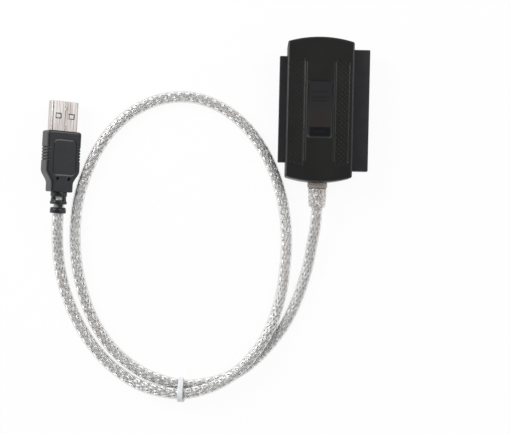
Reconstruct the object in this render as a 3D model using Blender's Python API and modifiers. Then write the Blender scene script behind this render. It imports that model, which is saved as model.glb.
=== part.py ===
"""Drive adapter: a small black box that joins a computer's USB port to a hard disk.

Units are metres. The origin is the centre of the housing's flat underside. +Y runs along the
housing to its SATA port, +X to the 40-pin socket and +Z up. The USB cable leaves at -Y and lies
in nearly two loose turns on the surface that the housing stands on.
"""

import math

import bmesh
import bpy
from mathutils import Matrix, Vector

# Running gap between pieces that seat in each other, and the smaller one round contacts
FIT = 0.0003
CONTACT_FIT = 0.0001

# Housing: straight sides, bowed ends, two covers that meet at half height
HOUSING_LENGTH = 0.061
HOUSING_WIDTH = 0.0280
HOUSING_HEIGHT = 0.016
END_RADIUS = 0.048
CORNER_RADIUS = 0.0009
EDGE_FILLET = 0.0008
WALL = 0.0016
ROOF = 0.0018
FLOOR = 0.0016
PARTING_HEIGHT = 0.008
PARTING_GAP = 0.0002
LIP_WALL = 0.0008
LIP_DEPTH = 0.0014

# Label recess in the roof
LABEL_WIDTH = 0.0105
LABEL_LENGTH = 0.0242
LABEL_CENTRE_Y = 0.0
LABEL_DEPTH = 0.0004
LABEL_CORNER = 0.0016

# Two grip panels in the roof: a field of small pyramids in a shallow recess with bowed ends
GRIP_INNER_X = 0.0068
GRIP_WIDTH = 0.0054
GRIP_TOP_Y = 0.0215
GRIP_BOTTOM_Y = -0.0238
GRIP_DEPTH = 0.0005
GRIP_PITCH = 0.00125
GRIP_PYRAMID = 0.0003
RAIL_WIDTH = 0.0011
RAIL_HEIGHT = 0.0002

# Posts that carry the board: shoulder, locating pin, and the boss above it in the top cover
POST_RADIUS = 0.0021
PIN_RADIUS = 0.0010
BOSS_RADIUS = 0.0023
PIN_REACH = 0.0030
SIDE_POST_X = 0.0062
SIDE_POST_Y = -0.0195
END_POST_Y = 0.0150

# Circuit board
BOARD_THICKNESS = 0.0010
BOARD_LENGTH = 0.0520
BOARD_CENTRE_Y = 0.0005
BOARD_CORNER = 0.0008
CABLE_NOTCH_WIDTH = 0.0090
CABLE_NOTCH_DEPTH = 0.0024

# 40-pin socket, 2.54 mm pitch, on the +X side
IDE40_PITCH = 0.00254
IDE40_COUNT = 20
IDE40_END = 0.0004
IDE40_HEIGHT = 0.0051
IDE40_DEPTH = 0.0094
IDE40_REACH = 0.0071
IDE40_HOLE = 0.0009
IDE40_MOUTH = 0.0015
IDE40_HOLE_DEPTH = 0.0060
IDE40_TAIL = 0.0006

# 44-pin socket, 2.0 mm pitch, on the -X side
IDE44_PITCH = 0.0020
IDE44_COUNT = 22
IDE44_END = 0.0006
IDE44_HEIGHT = 0.0040
IDE44_DEPTH = 0.0062
IDE44_REACH = 0.0032
IDE44_HOLE = 0.0007
IDE44_MOUTH = 0.0012
IDE44_HOLE_DEPTH = 0.0040
IDE44_TAIL = 0.0004

SOCKET_EDGE = 0.0003
# Both sockets sit a little towards the SATA end
SOCKET_CENTRE_Y = 0.0003
MOUTH_DEPTH = 0.0004
TAIL_LENGTH = 0.0022
# The key position that drives leave without a pin, counted along the lower row
KEY_POSITION = 9

# SATA port in the +Y end
SATA_WIDTH = 0.0169
SATA_HEIGHT = 0.0065
SATA_DEPTH = 0.0088
SATA_SETBACK = 0.0011
SATA_CAVITY_WIDTH = 0.0145
SATA_CAVITY_HEIGHT = 0.0049
SATA_CAVITY_DEPTH = 0.0060
SATA_FLANGE = 0.0009
SATA_FLANGE_DEPTH = 0.0012
TONGUE_WIDTH = 0.0104
TONGUE_THICKNESS = 0.0012
TONGUE_FOOT = 0.0012
TONGUE_DROP = 0.0002
SATA_PITCH = 0.00127
SATA_CONTACTS = 7
SATA_STRIP_WIDTH = 0.0006
SATA_STRIP_THICKNESS = 0.0002

# Bridge chip: quad flat pack with leads on four sides
CHIP_SIZE = 0.0100
CHIP_HEIGHT = 0.0014
CHIP_CENTRE = (0.0000, 0.0040)
CHIP_LEAD_PITCH = 0.0010
CHIP_LEAD_COUNT = 9
CHIP_LEAD_WIDTH = 0.00035
CHIP_LEAD_REACH = 0.0010
CHIP_LEAD_THICKNESS = 0.00015

# Small board parts: length, width, height and place on the board
CRYSTAL_LENGTH = 0.0105
CRYSTAL_WIDTH = 0.0044
CRYSTAL_HEIGHT = 0.0036
CRYSTAL_CENTRE = (0.0000, -0.0060)
REGULATOR_SIZE = (0.0065, 0.0035, 0.0016)
REGULATOR_CENTRE = (0.0000, -0.0130)
TANTALUM_SIZE = (0.0035, 0.0028, 0.0019)
CERAMIC_SIZE = (0.0020, 0.0013, 0.0009)
CAPACITOR_1_CENTRE = (0.0071, -0.0130)
CAPACITOR_2_CENTRE = (-0.0066, -0.0130)
CAPACITOR_3_CENTRE = (0.0080, -0.0060)
CAPACITOR_4_CENTRE = (-0.0073, -0.0060)

# Cable and the clear sleeve where it leaves the housing
CABLE_DIAMETER = 0.0048
RELIEF_FLANGE_RADIUS = 0.0041
RELIEF_FLANGE_LENGTH = 0.0012
RELIEF_NECK_RADIUS = 0.0034
RELIEF_COLLAR_RADIUS = 0.00425
RELIEF_COLLAR_LENGTH = 0.0020
RELIEF_GROOVE_RADIUS = 0.0038
RELIEF_GROOVE_LENGTH = 0.0005
RELIEF_BODY_RADIUS = 0.0040
RELIEF_TIP_RADIUS = 0.0036
RELIEF_BODY_LENGTH = 0.0078
RELIEF_TIP_ROUND = 0.0008

# Cores of the cable inside the housing
CORE_DIAMETER = 0.0009
CORE_SPREAD = 0.0011
CORE_PAD_PITCH = 0.0015
CORE_LIFT = 0.0008

# Cable route on the table, chosen by hand from the photograph: x, y and height of the centreline
CABLE_ROUTE = (
    (0.0000, -0.0266, 0.0080), (0.0000, -0.0345, 0.0080), (0.0000, -0.0425, 0.0079),
    (-0.0004, -0.0490, 0.0069), (-0.0014, -0.0564, 0.0048), (-0.0028, -0.0654, 0.0029),
    (-0.0050, -0.0741, 0.0025), (-0.0079, -0.0825, 0.0025), (-0.0117, -0.0907, 0.0025),
    (-0.0168, -0.0984, 0.0025), (-0.0229, -0.1055, 0.0025), (-0.0302, -0.1118, 0.0025),
    (-0.0389, -0.1162, 0.0026), (-0.0482, -0.1185, 0.0032), (-0.0565, -0.1189, 0.0036),
    (-0.0668, -0.1165, 0.0032), (-0.0757, -0.1127, 0.0025), (-0.0853, -0.1053, 0.0025),
    (-0.0924, -0.0964, 0.0025), (-0.0974, -0.0868, 0.0025), (-0.1006, -0.0773, 0.0025),
    (-0.1027, -0.0681, 0.0025), (-0.1037, -0.0588, 0.0025), (-0.1037, -0.0494, 0.0025),
    (-0.1026, -0.0396, 0.0025), (-0.0998, -0.0297, 0.0025), (-0.0954, -0.0194, 0.0025),
    (-0.0887, -0.0094, 0.0025), (-0.0792, -0.0010, 0.0025), (-0.0672, 0.0043, 0.0025),
    (-0.0541, 0.0051, 0.0025), (-0.0416, 0.0010, 0.0025), (-0.0313, -0.0067, 0.0025),
    (-0.0236, -0.0164, 0.0025), (-0.0184, -0.0267, 0.0025), (-0.0150, -0.0369, 0.0025),
    (-0.0131, -0.0469, 0.0025), (-0.0124, -0.0567, 0.0025), (-0.0128, -0.0666, 0.0026),
    (-0.0139, -0.0768, 0.0029), (-0.0164, -0.0872, 0.0041), (-0.0196, -0.0955, 0.0060),
    (-0.0243, -0.1032, 0.0072), (-0.0305, -0.1103, 0.0077), (-0.0384, -0.1163, 0.0078),
    (-0.0476, -0.1202, 0.0079), (-0.0565, -0.1219, 0.0076), (-0.0675, -0.1208, 0.0062),
    (-0.0772, -0.1178, 0.0038), (-0.0881, -0.1104, 0.0026), (-0.0965, -0.1010, 0.0025),
    (-0.1027, -0.0909, 0.0025), (-0.1072, -0.0804, 0.0025), (-0.1099, -0.0698, 0.0029),
    (-0.1108, -0.0616, 0.0040), (-0.1108, -0.0535, 0.0060), (-0.1105, -0.0455, 0.0069),
    (-0.1101, -0.0345, 0.0069),
)
ROUTE_SPACING = 0.0096
ROUTE_SAMPLES = 12

# Nylon tie round both strands, where the first lies below and beside the second
TIE_X = -0.0565
TIE_BEFORE_Y = -0.1000
TIE_WIDTH = 0.0025
TIE_THICKNESS = 0.0007
TIE_SLACK = 0.0003
TIE_HEAD_WIDTH = 0.0040
TIE_HEAD_LENGTH = 0.0044
TIE_HEAD_HEIGHT = 0.0030
TIE_TAIL = 0.0015

# USB plug: its moulding starts at its front face, its metal shell stands out of that
PLUG_WIDTH = 0.0155
PLUG_HEIGHT = 0.0078
PLUG_EDGE = 0.0016
PLUG_WIDE_LENGTH = 0.0166
PLUG_TAPER_LENGTH = 0.0060
PLUG_NARROW_LENGTH = 0.0034
PLUG_NARROW_WIDTH = 0.0102
PLUG_NARROW_HEIGHT = 0.0076
PLUG_FRONT_ROUND = 0.0010
PLUG_REAR_ROUND = 0.0005
GROOVE_START = 0.0072
GROOVE_PITCH = 0.0013
GROOVE_COUNT = 5
GROOVE_WIDTH = 0.0007
GROOVE_DEPTH = 0.0004
PANEL_START = 0.0036
PANEL_LENGTH = 0.0150
PANEL_WIDTH = 0.0102
PANEL_SLANT = 0.0026
PANEL_DEPTH = 0.00025
DIMPLE_SPACING = 0.0051
DIMPLE_RADIUS = 0.0006
DIMPLE_DEPTH = 0.0005
DIMPLE_FROM_FRONT = 0.0204

# Segmented relief behind the plug: collar, two rows of windows, a ring and an end ring
TAIL_COLLAR_LENGTH = 0.0020
TAIL_WINDOW = 0.0018
TAIL_RING_LENGTH = 0.0013
TAIL_END_LENGTH = 0.0022
TAIL_NECK_RADIUS = 0.0033
TAIL_COLLAR_RADIUS = 0.0035
TAIL_RING_RADIUS = 0.00355
TAIL_END_RADIUS = 0.00335
TAIL_RIB_WIDTH = 0.0016
TAIL_OPENING_WIDTH = 0.0042
# Turn of the relief's windows from the plug's own faces, in degrees
TAIL_TWIST = -5.0
PLUG_BORE_WALL = 0.0030

# USB shell, folded from sheet, with two windows in each broad face and a dovetailed seam
SHELL_WIDTH = 0.0120
SHELL_HEIGHT = 0.0045
SHELL_SHEET = 0.0003
SHELL_CORNER = 0.0007
SHELL_OUT = 0.01265
SHELL_IN = 0.0060
WINDOW_WIDTH = 0.0026
WINDOW_LENGTH = 0.0023
WINDOW_SPACING = 0.0060
WINDOW_FROM_MOUTH = 0.0063
SEAM_GAP = 0.00012
DOVETAIL_SIZE = 0.0013
DOVETAIL_FROM_MOUTH = (0.0034, 0.0114)

# Plastic tongue in the shell and its four contacts
USB_TONGUE_THICKNESS = 0.0018
USB_TONGUE_SETBACK = 0.0005
USB_BASE_LENGTH = 0.0050
USB_STRIP_WIDTH = 0.0010
USB_STRIP_THICKNESS = 0.0002
USB_CONTACT_X = (-0.0035, -0.0010, 0.0010, 0.0035)
USB_CONTACT_SETBACK = (0.0010, 0.0020, 0.0020, 0.0010)
USB_SOLDER_TAIL = 0.0010

# The plug lies on its lower edge, rolled about its own axis and turned a little
PLUG_FRONT_AT = (-0.1095, -0.01105)
PLUG_ROLL = 34.0
PLUG_TURN = -1.9
PLUG_HEIGHT_ABOVE_TABLE = 0.00695

CYLINDER_SIDES = 20
WELD = 0.000001
SMOOTH_ANGLE = math.radians(35)

# Material: colour, roughness, metallic
FINISHES = {
    "housing_plastic": ((0.020, 0.021, 0.022), 0.50, 0.0),
    "socket_plastic": ((0.030, 0.030, 0.034), 0.45, 0.0),
    "plug_plastic": ((0.035, 0.036, 0.038), 0.42, 0.0),
    "clear_vinyl": ((0.55, 0.52, 0.48), 0.25, 0.0),
    "cable_jacket": ((0.60, 0.60, 0.60), 0.25, 0.0),
    "nylon": ((0.80, 0.83, 0.86), 0.40, 0.0),
    "shell_steel": ((0.75, 0.72, 0.70), 0.25, 1.0),
    "white_plastic": ((0.85, 0.85, 0.83), 0.40, 0.0),
    "gold": ((0.83, 0.62, 0.25), 0.25, 1.0),
    "board": ((0.03, 0.16, 0.07), 0.45, 0.0),
    "chip_plastic": ((0.015, 0.015, 0.016), 0.55, 0.0),
    "crystal_can": ((0.70, 0.70, 0.70), 0.25, 1.0),
    "tantalum": ((0.65, 0.38, 0.05), 0.45, 0.0),
    "ceramic": ((0.42, 0.30, 0.19), 0.50, 0.0),
    "core_red": ((0.55, 0.02, 0.02), 0.40, 0.0),
    "core_white": ((0.80, 0.80, 0.78), 0.40, 0.0),
    "core_green": ((0.02, 0.30, 0.06), 0.40, 0.0),
    "core_black": ((0.02, 0.02, 0.02), 0.40, 0.0),
    "tinned_copper": ((0.70, 0.68, 0.64), 0.30, 1.0),
}

BOARD_BOTTOM = PARTING_HEIGHT - BOARD_THICKNESS / 2
BOARD_TOP = PARTING_HEIGHT + BOARD_THICKNESS / 2
PLUG_LENGTH = PLUG_WIDE_LENGTH + PLUG_TAPER_LENGTH + PLUG_NARROW_LENGTH
TAIL_LENGTH_ALL = TAIL_COLLAR_LENGTH + 2 * TAIL_WINDOW + TAIL_RING_LENGTH + TAIL_END_LENGTH


def clear_scene():
    """Remove what the file held, and make the two collections."""
    for old in list(bpy.data.objects):
        bpy.data.objects.remove(old, do_unlink=True)
    made = []
    for name in ("drive_adapter", "cutters"):
        collection = bpy.data.collections.new(name)
        bpy.context.scene.collection.children.link(collection)
        made.append(collection)
    return made


PARTS, CUTTERS = clear_scene()


def make_finish(name):
    """Principled material with the finish's colour, roughness and metallic value."""
    material = bpy.data.materials.get(name)
    if material is None:
        colour, roughness, metallic = FINISHES[name]
        material = bpy.data.materials.new(name)
        material.use_nodes = True
        shader = material.node_tree.nodes["Principled BSDF"]
        shader.inputs["Base Color"].default_value = (*colour, 1.0)
        shader.inputs["Roughness"].default_value = roughness
        shader.inputs["Metallic"].default_value = metallic
        material.diffuse_color = (*colour, 1.0)
    return material


def place(name, mesh):
    """Put a mesh into the scene as a tool; finish() makes it a part."""
    made = bpy.data.objects.new(name, mesh)
    CUTTERS.objects.link(made)
    made.hide_render = True
    made.display_type = "WIRE"
    return made


def finish(piece, name, finish_name, parent=None):
    """Make an object one of the adapter's named pieces."""
    CUTTERS.objects.unlink(piece)
    PARTS.objects.link(piece)
    piece.name = name
    piece.data.name = name
    piece.hide_render = False
    piece.display_type = "TEXTURED"
    piece.data.materials.clear()
    piece.data.materials.append(make_finish(finish_name))
    piece.data.shade_smooth()
    piece.data.set_sharp_from_angle(angle=SMOOTH_ANGLE)
    if parent is not None:
        piece.parent = parent
    return piece


def to_mesh(name, data):
    """Close a bmesh into a mesh with its faces pointing out."""
    bmesh.ops.recalc_face_normals(data, faces=data.faces)
    mesh = bpy.data.meshes.new(name)
    data.to_mesh(mesh)
    data.free()
    return mesh


def block(name, low, high, bevel=0.0, segments=2):
    """Box between two corners, with rounded edges where bevel is given."""
    low, high = Vector(low), Vector(high)
    data = bmesh.new()
    bmesh.ops.create_cube(data, size=1.0)
    bmesh.ops.scale(data, vec=high - low, verts=data.verts)
    bmesh.ops.translate(data, vec=(low + high) / 2, verts=data.verts)
    if bevel > 0:
        bmesh.ops.bevel(data, geom=data.edges[:], offset=bevel, segments=segments,
                        profile=0.5, affect="EDGES")
    return place(name, to_mesh(name, data))


def rod(name, radius, start, end, sides=CYLINDER_SIDES, end_radius=None):
    """Round bar or cone between two points."""
    start, end = Vector(start), Vector(end)
    run = end - start
    data = bmesh.new()
    bmesh.ops.create_cone(data, cap_ends=True, segments=sides, radius1=radius,
                          radius2=radius if end_radius is None else end_radius, depth=run.length)
    turn = run.to_track_quat("Z", "Y").to_matrix().to_4x4()
    bmesh.ops.transform(data, matrix=Matrix.Translation((start + end) / 2) @ turn,
                        verts=data.verts)
    return place(name, to_mesh(name, data))


def curve_to_solid(name, curve, matrix=None):
    """Mesh of a curve with its loose caps welded on; the curve is removed."""
    source = bpy.data.objects.new(name, curve)
    CUTTERS.objects.link(source)
    if matrix is not None:
        source.matrix_world = matrix
    bpy.context.view_layer.update()
    evaluated = source.evaluated_get(bpy.context.evaluated_depsgraph_get())
    mesh = bpy.data.meshes.new_from_object(evaluated)
    mesh.transform(source.matrix_world)
    bpy.data.objects.remove(source, do_unlink=True)
    data = bmesh.new()
    data.from_mesh(mesh)
    bmesh.ops.remove_doubles(data, verts=data.verts, dist=WELD)
    bpy.data.meshes.remove(mesh)
    return place(name, to_mesh(name, data))


def plate(name, outline, low, high, matrix=None):
    """Flat outline given thickness from low to high along its normal, then put in place."""
    curve = bpy.data.curves.new(name, "CURVE")
    curve.dimensions = "2D"
    curve.fill_mode = "BOTH"
    curve.extrude = (high - low) / 2
    spline = curve.splines.new("POLY")
    spline.points.add(len(outline) - 1)
    for point, (x, y) in zip(spline.points, outline):
        point.co = (x, y, 0.0, 1.0)
    spline.use_cyclic_u = True
    lift = Matrix.Translation((0, 0, (low + high) / 2))
    return curve_to_solid(name, curve, lift if matrix is None else matrix @ lift)


def tube(name, points, diameter, resolution=2):
    """Round bar along a list of points, with flat ends."""
    curve = bpy.data.curves.new(name, "CURVE")
    curve.dimensions = "3D"
    curve.bevel_depth = diameter / 2
    curve.bevel_resolution = resolution
    curve.use_fill_caps = True
    spline = curve.splines.new("POLY")
    spline.points.add(len(points) - 1)
    for point, place_at in zip(spline.points, points):
        point.co = (*place_at, 1.0)
    return curve_to_solid(name, curve)


def turned(name, profile, matrix, steps=CYLINDER_SIDES):
    """Ring turned about its own Z from a closed profile of (radius, height) points."""
    mesh = bpy.data.meshes.new(name)
    count = len(profile)
    edges = [(step, (step + 1) % count) for step in range(count)]
    mesh.from_pydata([(radius, 0.0, height) for radius, height in profile], edges, [])
    ring = place(name, mesh)
    ring.matrix_world = matrix
    screw = ring.modifiers.new("turn", "SCREW")
    screw.axis = "Z"
    screw.steps = steps
    screw.render_steps = steps
    screw.use_merge_vertices = True
    screw.merge_threshold = WELD
    return ring


def loft(name, sections):
    """Solid through a stack of closed sections, each with as many points as the next."""
    count = len(sections[0])
    points = [point for section in sections for point in section]
    faces = [tuple(reversed(range(count)))]
    for level in range(len(sections) - 1):
        for step in range(count):
            here = level * count + step
            beside = level * count + (step + 1) % count
            faces.append((here, beside, beside + count, here + count))
    faces.append(tuple(range((len(sections) - 1) * count, len(sections) * count)))
    mesh = bpy.data.meshes.new(name)
    mesh.from_pydata(points, [], faces)
    data = bmesh.new()
    data.from_mesh(mesh)
    bpy.data.meshes.remove(mesh)
    return place(name, to_mesh(name, data))


def combine(target, tool, operation):
    """Add a Boolean with the exact solver."""
    modifier = target.modifiers.new(tool.name, "BOOLEAN")
    modifier.operation = operation
    modifier.object = tool


def cut(target, tool):
    combine(target, tool, "DIFFERENCE")


def join(target, tool):
    combine(target, tool, "UNION")


def joined_copies(name, source, shifts):
    """One tool that holds a copy of a tool's mesh at each shift; the source is removed."""
    data = bmesh.new()
    for shift in shifts:
        start = len(data.verts)
        data.from_mesh(source.data)
        data.verts.ensure_lookup_table()
        bmesh.ops.translate(data, vec=shift, verts=data.verts[start:])
    bpy.data.objects.remove(source, do_unlink=True)
    return place(name, to_mesh(name, data))


def rounded_rectangle(width, height, corner, steps=4, centre=(0.0, 0.0)):
    """Outline of a rectangle with round corners, anticlockwise."""
    outline = []
    for quarter, (side_x, side_y) in enumerate(((1, 1), (-1, 1), (-1, -1), (1, -1))):
        corner_x = centre[0] + side_x * (width / 2 - corner)
        corner_y = centre[1] + side_y * (height / 2 - corner)
        for step in range(steps + 1):
            angle = math.pi / 2 * (quarter + step / steps)
            outline.append((corner_x + corner * math.cos(angle),
                            corner_y + corner * math.sin(angle)))
    return outline


def housing_outline(inset, end_steps=5, corner_steps=3):
    """Plan of the housing drawn inwards by inset: straight sides, bowed ends, round corners."""
    half_width = HOUSING_WIDTH / 2 - inset
    end_radius = END_RADIUS - inset
    corner = max(CORNER_RADIUS - inset, CORNER_RADIUS / 4)
    arc_centre = HOUSING_LENGTH / 2 - END_RADIUS
    corner_x = half_width - corner
    corner_y = arc_centre + math.sqrt((end_radius - corner) ** 2 - corner_x ** 2)
    meet = math.atan2(corner_y - arc_centre, corner_x)
    quarter = []
    for step in range(corner_steps + 1):
        angle = meet * step / corner_steps
        quarter.append((corner_x + corner * math.cos(angle), corner_y + corner * math.sin(angle)))
    for step in range(1, end_steps + 1):
        angle = meet + (math.pi / 2 - meet) * step / end_steps
        quarter.append((end_radius * math.cos(angle), arc_centre + end_radius * math.sin(angle)))
    half = quarter + [(-x, y) for x, y in reversed(quarter[:-1])]
    return half + [(-x, -y) for x, y in half]


def end_wall_y(x, inset=0.0):
    """How far the bowed +Y end reaches at a distance x from the middle."""
    radius = END_RADIUS - inset
    return HOUSING_LENGTH / 2 - END_RADIUS + math.sqrt(radius ** 2 - x ** 2)


def round_rim(body, height, rising):
    """Round the outer rim of a cover at its roof or floor."""
    data = bmesh.new()
    data.from_mesh(body.data)
    rim = [edge for edge in data.edges
           if all(abs(vert.co.z - height) < WELD for vert in edge.verts)
           and len(edge.link_faces) == 2
           and any(abs(face.normal.z) < 0.5 for face in edge.link_faces)]
    bmesh.ops.bevel(data, geom=rim, offset=EDGE_FILLET if rising else EDGE_FILLET / 2,
                    segments=3, profile=0.5, affect="EDGES", clamp_overlap=True)
    bmesh.ops.recalc_face_normals(data, faces=data.faces)
    data.to_mesh(body.data)
    data.free()


def grip_cutter(side):
    """Space above one grip panel: its floor is a field of pyramids, its ends follow the housing."""
    columns = max(1, round(GRIP_WIDTH / GRIP_PITCH))
    length = GRIP_TOP_Y - GRIP_BOTTOM_Y
    rows = max(1, round(length / GRIP_PITCH))
    floor = HOUSING_HEIGHT - GRIP_DEPTH
    above = HOUSING_HEIGHT + GRIP_DEPTH
    data = bmesh.new()
    bmesh.ops.create_grid(data, x_segments=columns, y_segments=rows, size=0.5)
    bmesh.ops.scale(data, vec=(GRIP_WIDTH, length, 1.0), verts=data.verts)
    cells = bmesh.ops.poke(data, faces=data.faces[:])
    for peak in cells["verts"]:
        peak.co.z = GRIP_PYRAMID
    top = bmesh.ops.extrude_face_region(data, geom=data.faces[:])
    for item in top["geom"]:
        if isinstance(item, bmesh.types.BMVert):
            item.co.z = above - floor
    middle = (side * (GRIP_INNER_X + GRIP_WIDTH / 2), (GRIP_TOP_Y + GRIP_BOTTOM_Y) / 2, floor)
    bmesh.ops.translate(data, vec=middle, verts=data.verts)
    field = place("cut_grip_field", to_mesh("cut_grip_field", data))

    # The panel's ends are bowed like the housing's, so its outer side is the shorter one
    drop_top = HOUSING_LENGTH / 2 - GRIP_TOP_Y
    drop_bottom = HOUSING_LENGTH / 2 + GRIP_BOTTOM_Y
    inner = GRIP_INNER_X + WELD * 10
    outer = GRIP_INNER_X + GRIP_WIDTH - WELD * 10
    outline = []
    for step in range(5):
        x = inner + (outer - inner) * step / 4
        outline.append((side * x, end_wall_y(x) - drop_top))
    for step in range(5):
        x = outer + (inner - outer) * step / 4
        outline.append((side * x, drop_bottom - end_wall_y(x)))
    window = plate("cut_grip_window", outline, floor - GRIP_DEPTH, above + GRIP_DEPTH)
    combine(field, window, "INTERSECT")
    return field


def socket_cutters(name, reach, height, side):
    """Hole through both covers for something that stands out of a side wall."""
    wall_x = side * HOUSING_WIDTH / 2
    near = SOCKET_CENTRE_Y - reach / 2 - FIT
    far = SOCKET_CENTRE_Y + reach / 2 + FIT
    low = (wall_x - 2 * WALL, near, PARTING_HEIGHT - height / 2 - FIT)
    high = (wall_x + 2 * WALL, far, PARTING_HEIGHT + height / 2 + FIT)
    return block(name, low, high)


def wall_openings():
    """Tools for the openings that the two covers share."""
    sata_half = SATA_WIDTH / 2 + FIT
    end_y = HOUSING_LENGTH / 2
    sata = block("cut_sata", (-sata_half, end_y - 3 * WALL, PARTING_HEIGHT - SATA_HEIGHT / 2 - FIT),
                 (sata_half, end_y + WALL, PARTING_HEIGHT + SATA_HEIGHT / 2 + FIT))
    relief = rod("cut_relief", RELIEF_NECK_RADIUS + FIT, (0, -end_y - WALL, PARTING_HEIGHT),
                 (0, -end_y + 2 * WALL, PARTING_HEIGHT))
    return [
        socket_cutters("cut_ide40", ide40_length(), IDE40_HEIGHT, 1),
        socket_cutters("cut_ide44", ide44_length(), IDE44_HEIGHT, -1),
        sata,
        relief,
    ]


def ide40_length():
    return IDE40_COUNT * IDE40_PITCH + 2 * IDE40_END


def ide44_length():
    return IDE44_COUNT * IDE44_PITCH + 2 * IDE44_END


def post_places():
    return [(-SIDE_POST_X, SIDE_POST_Y), (SIDE_POST_X, SIDE_POST_Y), (0.0, END_POST_Y)]


def make_top_cover(openings):
    """Upper shell with its locating lip, bosses, label recess and grip panels."""
    start = PARTING_HEIGHT + PARTING_GAP / 2
    cover = plate("top_cover", housing_outline(0), start, HOUSING_HEIGHT)
    round_rim(cover, HOUSING_HEIGHT, True)
    lip = plate("tool_lip", housing_outline(WALL - LIP_WALL), start - LIP_DEPTH, start + WALL)
    join(cover, lip)
    hollow = plate("cut_top_hollow", housing_outline(WALL), start - 2 * LIP_DEPTH,
                   HOUSING_HEIGHT - ROOF)
    cut(cover, hollow)
    for number, (x, y) in enumerate(post_places()):
        boss = rod(f"tool_boss_{number}", BOSS_RADIUS, (x, y, BOARD_TOP + FIT),
                   (x, y, HOUSING_HEIGHT - ROOF / 2))
        join(cover, boss)
        bore = rod(f"cut_boss_{number}", PIN_RADIUS + FIT, (x, y, BOARD_TOP - FIT),
                   (x, y, BOARD_TOP + FIT + PIN_REACH), sides=16)
        cut(cover, bore)
    for opening in openings:
        cut(cover, opening)
    label = plate("cut_label", rounded_rectangle(LABEL_WIDTH, LABEL_LENGTH, LABEL_CORNER,
                                                 centre=(0, LABEL_CENTRE_Y)),
                  HOUSING_HEIGHT - LABEL_DEPTH, HOUSING_HEIGHT + LABEL_DEPTH)
    cut(cover, label)
    for side in (-1, 1):
        cut(cover, grip_cutter(side))
        rail_x = side * (GRIP_INNER_X - RAIL_WIDTH / 2 - FIT)
        rail_end = LABEL_CORNER
        rail = block(f"tool_rail_{side}",
                     (rail_x - RAIL_WIDTH / 2, GRIP_BOTTOM_Y + rail_end,
                      HOUSING_HEIGHT - RAIL_HEIGHT),
                     (rail_x + RAIL_WIDTH / 2, GRIP_TOP_Y - rail_end,
                      HOUSING_HEIGHT + RAIL_HEIGHT))
        join(cover, rail)
    return finish(cover, "top_cover", "housing_plastic")


def make_bottom_cover(openings):
    """Lower shell with the rebate for the lip and the posts that carry the board."""
    end = PARTING_HEIGHT - PARTING_GAP / 2
    cover = plate("bottom_cover", housing_outline(0), 0.0, end)
    round_rim(cover, 0.0, False)
    cut(cover, plate("cut_bottom_hollow", housing_outline(WALL), FLOOR, end + WALL))
    rebate = plate("cut_rebate", housing_outline(WALL - LIP_WALL - FIT),
                   PARTING_HEIGHT + PARTING_GAP / 2 - LIP_DEPTH - FIT, end + WALL)
    cut(cover, rebate)
    for number, (x, y) in enumerate(post_places()):
        post = rod(f"tool_post_{number}", POST_RADIUS, (x, y, FLOOR / 2), (x, y, BOARD_BOTTOM - FIT))
        join(cover, post)
        pin = rod(f"tool_pin_{number}", PIN_RADIUS, (x, y, FLOOR), (x, y, BOARD_TOP + PIN_REACH),
                  sides=16)
        join(cover, pin)
    for opening in openings:
        cut(cover, opening)
    return finish(cover, "bottom_cover", "housing_plastic")


def make_board():
    """Board between the sockets, notched for the SATA port and drilled for the pins."""
    left = -(HOUSING_WIDTH / 2 + IDE44_REACH - IDE44_DEPTH) + FIT
    right = HOUSING_WIDTH / 2 + IDE40_REACH - IDE40_DEPTH - FIT
    top = BOARD_CENTRE_Y + BOARD_LENGTH / 2
    outline = rounded_rectangle(right - left, BOARD_LENGTH, BOARD_CORNER, 2,
                                centre=((left + right) / 2, BOARD_CENTRE_Y))
    board = plate("circuit_board", outline, BOARD_BOTTOM, BOARD_TOP)
    notch_half = SATA_WIDTH / 2 + FIT
    notch = block("cut_notch", (-notch_half, sata_back_y() - 2 * FIT, BOARD_BOTTOM - FIT),
                  (notch_half, top + FIT, BOARD_TOP + FIT))
    cut(board, notch)
    bottom = BOARD_CENTRE_Y - BOARD_LENGTH / 2
    cut(board, block("cut_cable_notch",
                     (-CABLE_NOTCH_WIDTH / 2, bottom - FIT, BOARD_BOTTOM - FIT),
                     (CABLE_NOTCH_WIDTH / 2, bottom + CABLE_NOTCH_DEPTH, BOARD_TOP + FIT)))
    for number, (x, y) in enumerate(post_places()):
        cut(board, rod(f"cut_board_hole_{number}", PIN_RADIUS + FIT, (x, y, BOARD_BOTTOM - FIT),
                       (x, y, BOARD_TOP + FIT), sides=16))
    return finish(board, "circuit_board", "board")


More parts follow.
